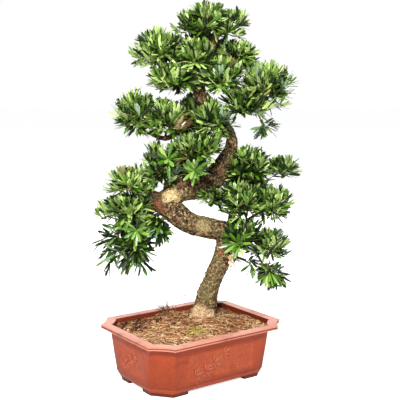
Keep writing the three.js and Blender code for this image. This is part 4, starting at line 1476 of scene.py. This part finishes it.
# how the greens are dealt, with painted shade: darker towards the underside and inside a mass, and the
# spread over shoots and over a shoot's leaves
dealing = {"paintedShadeBelow": 0.56, "inner": 2.8, "spread": 0.8, "leafSpread": 1.5}


def dealGreen(draw, name, upward, inner):
    # a shoot's green, with painted light and shade: lighter the more it looks up, darker inside the mass
    pickOdd = draw.random()
    for k, limit in enumerate(np.cumsum(own(name, "oddShares"))):
        if pickOdd < limit and not inner:
            return plainGreens + k
    # painted shade: darker the less the shoot looks up, and much darker inside the mass
    tone = own(name, "tone") + dealing["paintedShadeBelow"] * (1 - upward) + (dealing["inner"] if inner else 0)
    return greenAt(tone + draw.normal(0, dealing["spread"]))


def growTwigs(space, start, end, count, turn, wood):
    # twigs from the stem, dealt evenly to all sides
    middle, spread = foliage["forks"]
    forward = unit(end - start)
    twigs = []
    for way in evenDirections(count, turn):
        fork = start + (end - start) * (middle + spread * (way @ forward))
        along = unit(way * space.reach + space.centre - fork)
        tip = fork + along * foliage["twigShare"] * max(0.0, space.room(fork, along))
        if inWood(tip):
            continue
        bow = (fork + tip) / 2 + np.array([0, 0, foliage["sag"]]) * np.linalg.norm(tip - fork)
        wood.append((np.array([fork, bow, tip]), *foliage["twig"]))
        twigs.append({"way": way, "fork": fork, "tip": tip, "goals": []})
    return twigs


def growMass(name, number, leaves, wood):
    # a stem, its twigs, and on them shoots that end in a spray of leaves
    firstSeed, nextSeed = foliage["seed"]
    draw = np.random.default_rng(firstSeed + nextSeed * number)
    _, (level, upright), carrier, _ = masses[name]
    space = Space(name)
    start, ahead = stemStart(carrier)
    stem = [start]
    if ahead is not None:
        stem.append(start + unit(ahead) * foliage["straightOn"])
    end = stem[-1] + (space.centre - stem[-1]) * foliage["stemReach"]
    wood.append((np.array([*stem, end]), *foliage["stem"]))
    size = own(name, "leafScale")
    area = level * (level + 2 * upright) * own(name, "density")
    count = round(area / (foliage["perArea"] * size * size))
    turn = 2 * math.pi * draw.random()
    twigs = growTwigs(space, start, end, max(2, round(count / foliage["perTwig"])), turn, wood)
    if not twigs:
        return
    if own(name, "openShoot"):
        growOpenShoot(name, twigs, draw, leaves, wood)
    inner = evenDirections(round(count * foliage["inner"]), turn + foliage["innerTurn"])
    outer = evenDirections(count, turn + foliage["outerTurn"])
    outer = unit(outer + draw.normal(0, foliage["uneven"], (count, 3)))
    for way, within in [(way, False) for way in outer] + [(way, True) for way in inner]:
        nearest = max(twigs, key=lambda twig: twig["way"] @ way)
        nearest["goals"].append((way, within))
    for twig in twigs:
        twig["goals"].sort(key=lambda goal: -(goal[0] @ twig["way"]))
        for k, (way, within) in enumerate(twig["goals"]):
            share = 1 + (foliage["firstFork"] - 1) * k / len(twig["goals"])
            root = twig["fork"] + (twig["tip"] - twig["fork"]) * share
            growShoot(name, space, draw, root, way, within, leaves, wood)


shoot = {
    # "length" is the least and largest share of the room, and a power that makes fewer short
    "innerReach": 0.6, "innerLength": 0.5, "leastRoom": 14, "length": (0.25, 0.9, 0.8), "shortest": 8,
    "lift": (0.35, 1.35), "ahead": 0.8, "hang": (0.4, 1), "scatter": 0.24, "offWood": 2,
    # room kept at the tip for its leaves; less on the underside, where shoots end sideways
    "spare": 26, "underside": -0.25, "undersideLift": 0.12, "undersideSpare": 8,
    "bulge": 0.4, "bulgeSize": (2.1, 30), "bend": 0.25,  # noise that makes a mass's outline uneven
}


def growShoot(name, space, draw, root, way, within, leaves, wood):
    # one shoot from a twig towards its goal; its tip turns up, or sideways on the mass's underside
    reach = shoot["innerReach"] if within else 1.0
    heading = unit(way * space.reach * reach + space.centre - root)
    room = space.room(root, heading)
    if room < shoot["leastRoom"]:
        return
    low, high = shoot["lift"]
    rise = low + (high - low) * draw.random()
    spare, hang = shoot["spare"], own(name, "hang")
    if hang:
        least, more = shoot["hang"]
        axis = heading + np.array([0, 0, hang * (least + more * draw.random())])
    elif way[2] < shoot["underside"]:
        axis = np.array([way[0], way[1], shoot["undersideLift"]])
        spare = shoot["undersideSpare"]
    else:
        axis = heading * shoot["ahead"] + np.array([0, 0, rise])
    axis = unit(axis + draw.normal(0, shoot["scatter"], 3))
    around, between = shoot["bulgeSize"]
    bulge = shoot["bulge"] * noise.noise(Vector(way * around + space.centre / between))
    low, high, fewShort = shoot["length"]
    length = room * (low + (high - low) * draw.random() ** fewShort)
    length *= (shoot["innerLength"] if within else 1) * (1 + bulge)
    length = max(shoot["shortest"], min(length, room - spare))
    tip = root + heading * length
    middle = (root + 3 * tip) / 4 - axis * length * shoot["bend"]
    if inWood(tip, shoot["offWood"]):
        return
    wood.append((np.array([root, middle, tip]), *foliage["shoot"]))
    colour = dealGreen(draw, name, float(way[2]), within)
    addSpray(name, space, draw, (root, middle, tip), axis, colour, bulge, leaves)


spray = {
    # "vigour" and "widths" are a least share and how much more
    "leaves": (8, 11), "length": (35, 54), "vigour": (0.85, 0.3), "tipShorter": 0.25, "shortest": 16,
    "width": 0.2, "usualLength": 44, "widths": (0.86, 0.28), "bearing": (38, 0.9), "crowding": 1.2,
    # how far leaves open in degrees, at the tip and below, on most shoots and on rosettes
    "upright": (8, 50), "rosette": (18, 74), "openCurve": 0.8, "scatter": 8, "uneven": 0.2,
    "rise": 0.2, "hangingRise": -0.15, "over": (0.98, 1.2), "topLess": 0.08, "cross": 26, "more": 3,
    "faceUp": 0.8, "faceScatter": 0.2, "curl": (-0.05, 0.08),
    "offWood": 1, "probes": (1, 0.6),  # leaves keep off the wood, at their point and at this share
}


def addSpray(name, space, draw, line, axis, colour, bulge, leaves):
    # leaves round a shoot: open and long below, upright and short at the tip
    root, middle, tip = line
    side = unit(np.cross(axis, [0.3, 0.2, 1.0]))
    third = np.cross(side, axis)
    fewest, most = spray["leaves"]
    count = int(draw.integers(fewest, most + 1))
    bearing, most = spray["bearing"]  # the length of shoot that bears leaves, and its largest share
    back = min(most, bearing / max(np.linalg.norm(tip - root), 1))
    turn = 2 * math.pi * draw.random()
    narrow, wide = spray["rosette" if draw.random() < own(name, "rosetteShare") else "upright"]
    lift = np.array([0, 0, spray["hangingRise"] if own(name, "hang") else spray["rise"]])
    low, high = spray["length"]
    least, more = spray["vigour"]
    size = own(name, "leafScale")
    vigour = (least + more * draw.random()) * size
    reach = draw.uniform(*spray["over"]) + bulge
    narrowest, wider = spray["widths"]
    for k in range(count):
        s = k / (count - 1)
        along = 1 - back * (1 - s) ** spray["crowding"]
        if along < 0.5:
            place = root + (middle - root) * 2 * along
        else:
            place = middle + (tip - middle) * (2 * along - 1)
        angle = turn + k * goldenAngle + draw.normal(0, spray["uneven"])
        out = side * math.cos(angle) + third * math.sin(angle)
        opened = wide + (narrow - wide) * s ** spray["openCurve"] + draw.normal(0, spray["scatter"])
        opened = math.radians(opened)
        way = unit(axis * math.cos(opened) + out * math.sin(opened) + lift)
        length = (low + (high - low) * draw.random()) * vigour * (1 - spray["tipShorter"] * s ** 3)
        over = reach - spray["topLess"] * way[2]
        length = min(length, space.room(place, way, over, spray["cross"]) + spray["more"])
        if length < spray["shortest"]:
            continue
        if any(inWood(place + way * length * part, spray["offWood"]) for part in spray["probes"]):
            continue
        face = axis * spray["faceUp"] + np.array([0, 0, spray["faceUp"]])
        face = face + draw.normal(0, spray["faceScatter"], 3)
        face = unit(face - way * (face @ way))
        width = spray["width"] * (0.5 * length + 0.5 * spray["usualLength"] * size)
        width *= narrowest + wider * draw.random()
        shade = colour
        if colour < plainGreens:
            shade = greenAt(colour + draw.normal(0, dealing["leafSpread"]))
        leaves.append((shade, *place, *way, *face, length, width, draw.normal(*spray["curl"])))


leaf = {
    "blade": [(0.0, 0.08), (0.22, 0.27), (0.58, 0.5), (0.88, 0.36)],  # share of length, half width
    "point": 0.3, "thick": 0.9, "upperRough": 0.3, "lowerRough": 0.55, "roughSpread": (-0.06, 0.1),
    "gloss": 0.6, "veins": (240, 0.3, 0.7, 2, 2), "veinBump": (0.15, 0.0006),
}


def leafTemplate():
    # one blade along x: rings of left edge, raised midrib and right edge over a flat underside
    points = []
    for x, half in leaf["blade"]:
        points += [(x, half, 0.0), (x, 0, 1.0), (x, -half, 0.0)]
    points.append((1.0, 0.0, leaf["point"]))
    faces, under = [], []
    last = 3 * (len(leaf["blade"]) - 1)
    for first in range(0, last, 3):
        for k in range(3):
            b = first + (k + 1) % 3
            faces.append((first + k, first + 3 + k, b + 3, b))
            under.append(k == 2)
    for k in range(3):
        faces.append((last + k, last + 3, last + (k + 1) % 3))
        under.append(k == 2)
    faces.append((0, 1, 2))
    under.append(True)
    return np.array(points), faces, under


def buildLeaves(name, rows):
    template, faces, under = leafTemplate()
    rows = np.array(rows)
    place, way, face = rows[:, 1:4], unit(rows[:, 4:7]), unit(rows[:, 7:10])
    length, width, curl = rows[:, 10], rows[:, 11], rows[:, 12]
    side = np.cross(face, way)
    x, y, z = template[:, 0], template[:, 1], template[:, 2]
    rise = leaf["thick"] * z[None, :] + curl[:, None] * length[:, None] * (x[None, :] ** 2)
    points = (
        place[:, None, :]
        + way[:, None, :] * (x[None, :] * length[:, None])[..., None]
        + side[:, None, :] * (y[None, :] * width[:, None])[..., None]
        + face[:, None, :] * rise[..., None]
    )
    count = len(template)
    allFaces = [tuple(i + n * count for i in f) for n in range(len(rows)) for f in faces]
    piece = meshPiece(name, toWorld(points.reshape(-1, 3)), allFaces)
    piece.data.polygons.foreach_set("material_index", np.tile(np.array(under, np.int32), len(rows)))
    return piece


def leafMaterial(name, colour, rough):
    gloss = leaf["gloss"]
    material, web, shader = newMaterial(name, Base_Color=colour, Roughness=rough, Specular_IOR_Level=gloss)
    veins = patches(web, *leaf["veins"])
    roughRange = (rough + more for more in leaf["roughSpread"])
    web.links.new(ranged(web, veins, 0, 1, *roughRange), shader.inputs["Roughness"])
    addBump(web, shader, veins, *leaf["veinBump"])
    return material


leafRows, twigRuns, massOf = [], [], []
for number, name in enumerate(masses):
    before = len(leafRows)
    growMass(name, number, leafRows, twigRuns)
    massOf += [name] * (len(leafRows) - before)
print(f"grew {len(leafRows)} leaves on {len(twigRuns)} twigs")

for index, (name, (upper, lower)) in enumerate(greens.items()):
    chosen = [i for i, row in enumerate(leafRows) if row[0] == index]
    piece = buildLeaves(f"{name}Leaves", [leafRows[i] for i in chosen])
    upperSide = leafMaterial(f"{name}Leaf", upper, leaf["upperRough"])
    dress(piece, upperSide, leafMaterial(f"{name}LeafUnderside", lower, leaf["lowerRough"]))
    finishPiece(piece, sorted({f"leaves_{massOf[i]}" for i in chosen}))


twigSkin = {
    "brown": rgb(112, 90, 56), "green": rgb(84, 96, 46), "size": 60, "rough": 0.75, "gloss": 0.3,
    "bump": ((400, 0.3, 0.7, 3), 0.4, 0.0008), "smoothTo": 60,
}


def makeTwigs(runs):
    points, faces, _ = buildTubes(runs)
    piece = meshPiece("twigs", toWorld(points), faces)
    brown, green, size = (twigSkin[kind] for kind in ("brown", "green", "size"))
    finish = {kind: twigSkin[kind] for kind in ("rough", "gloss")}
    material, web, shader = twoToned("twigBark", brown, green, size, **finish)
    bumps, strength, distance = twigSkin["bump"]
    addBump(web, shader, patches(web, *bumps), strength, distance)
    dress(piece, material)
    smoothTo(piece, twigSkin["smoothTo"])
    return piece


finishPiece(makeTwigs(twigRuns))
print("leaves and twigs made")


studio = {
    "floor": 30, "paper": (0.9, 0.88), "mottle": (3, 0.3, 0.7), "mottled": 0.3, "rough": 0.9, "gloss": 0.1,
    "floorGlow": 0.8, "sky": 0.21, "backdrop": 1.0, "aim": (0, 0, 0.4),
    # place, size and power of each lamp
    "lamps": {
        "keyLight": ((-1.8, -2.0, 1.95), 0.4, 154),
        "topLight": ((-0.7, -0.8, 3.2), 0.8, 34),
        "fillLight": ((1.8, -1.2, 1.4), 1.6, 8),
        "backLight": ((1.5, 2.3, 1.3), 2.0, 36),
    },
}


def makeFloor():
    clearPick()
    bpy.ops.mesh.primitive_circle_add(vertices=64, radius=studio["floor"], fill_type="NGON")
    floor = bpy.context.object
    floor.name = "floor"
    rough, gloss = studio["rough"], studio["gloss"]
    material, web, shader = newMaterial("paperFloor", Roughness=rough, Specular_IOR_Level=gloss)
    pale, grey = ((level, level, level, 1) for level in studio["paper"])
    mottle = scaled(web, patches(web, *studio["mottle"]), studio["mottled"])
    shade = mixColour(web, mottle, pale, grey)
    web.links.new(shade, shader.inputs["Base Color"])
    # the paper is a little brighter to the eye than the light that it gives back
    shader.inputs["Emission Color"].default_value = (1, 1, 1, 1)
    seen = web.nodes.new("ShaderNodeLightPath").outputs["Is Camera Ray"]
    web.links.new(scaled(web, seen, studio["floorGlow"]), shader.inputs["Emission Strength"])
    dress(floor, material)


def makeStudio():
    makeFloor()
    world = bpy.data.worlds.new("studio")
    bpy.context.scene.world = world
    world.use_nodes = True
    air = world.node_tree
    sky = air.nodes["Background"]
    sky.inputs["Color"].default_value = (1, 1, 1, 1)
    seen = air.nodes.new("ShaderNodeLightPath").outputs["Is Camera Ray"]
    air.links.new(ranged(air, seen, 0, 1, studio["sky"], studio["backdrop"]), sky.inputs["Strength"])
    bpy.context.scene.view_settings.view_transform = "Standard"
    for name, (place, size, power) in studio["lamps"].items():
        bpy.ops.object.light_add(type="AREA", location=place)
        lamp = bpy.context.object
        lamp.name = name
        lamp.data.size = size
        lamp.data.energy = power
        aim = Vector(studio["aim"]) - Vector(place)
        lamp.rotation_euler = aim.to_track_quat("-Z", "Y").to_euler()


makeStudio()
print("studio made")
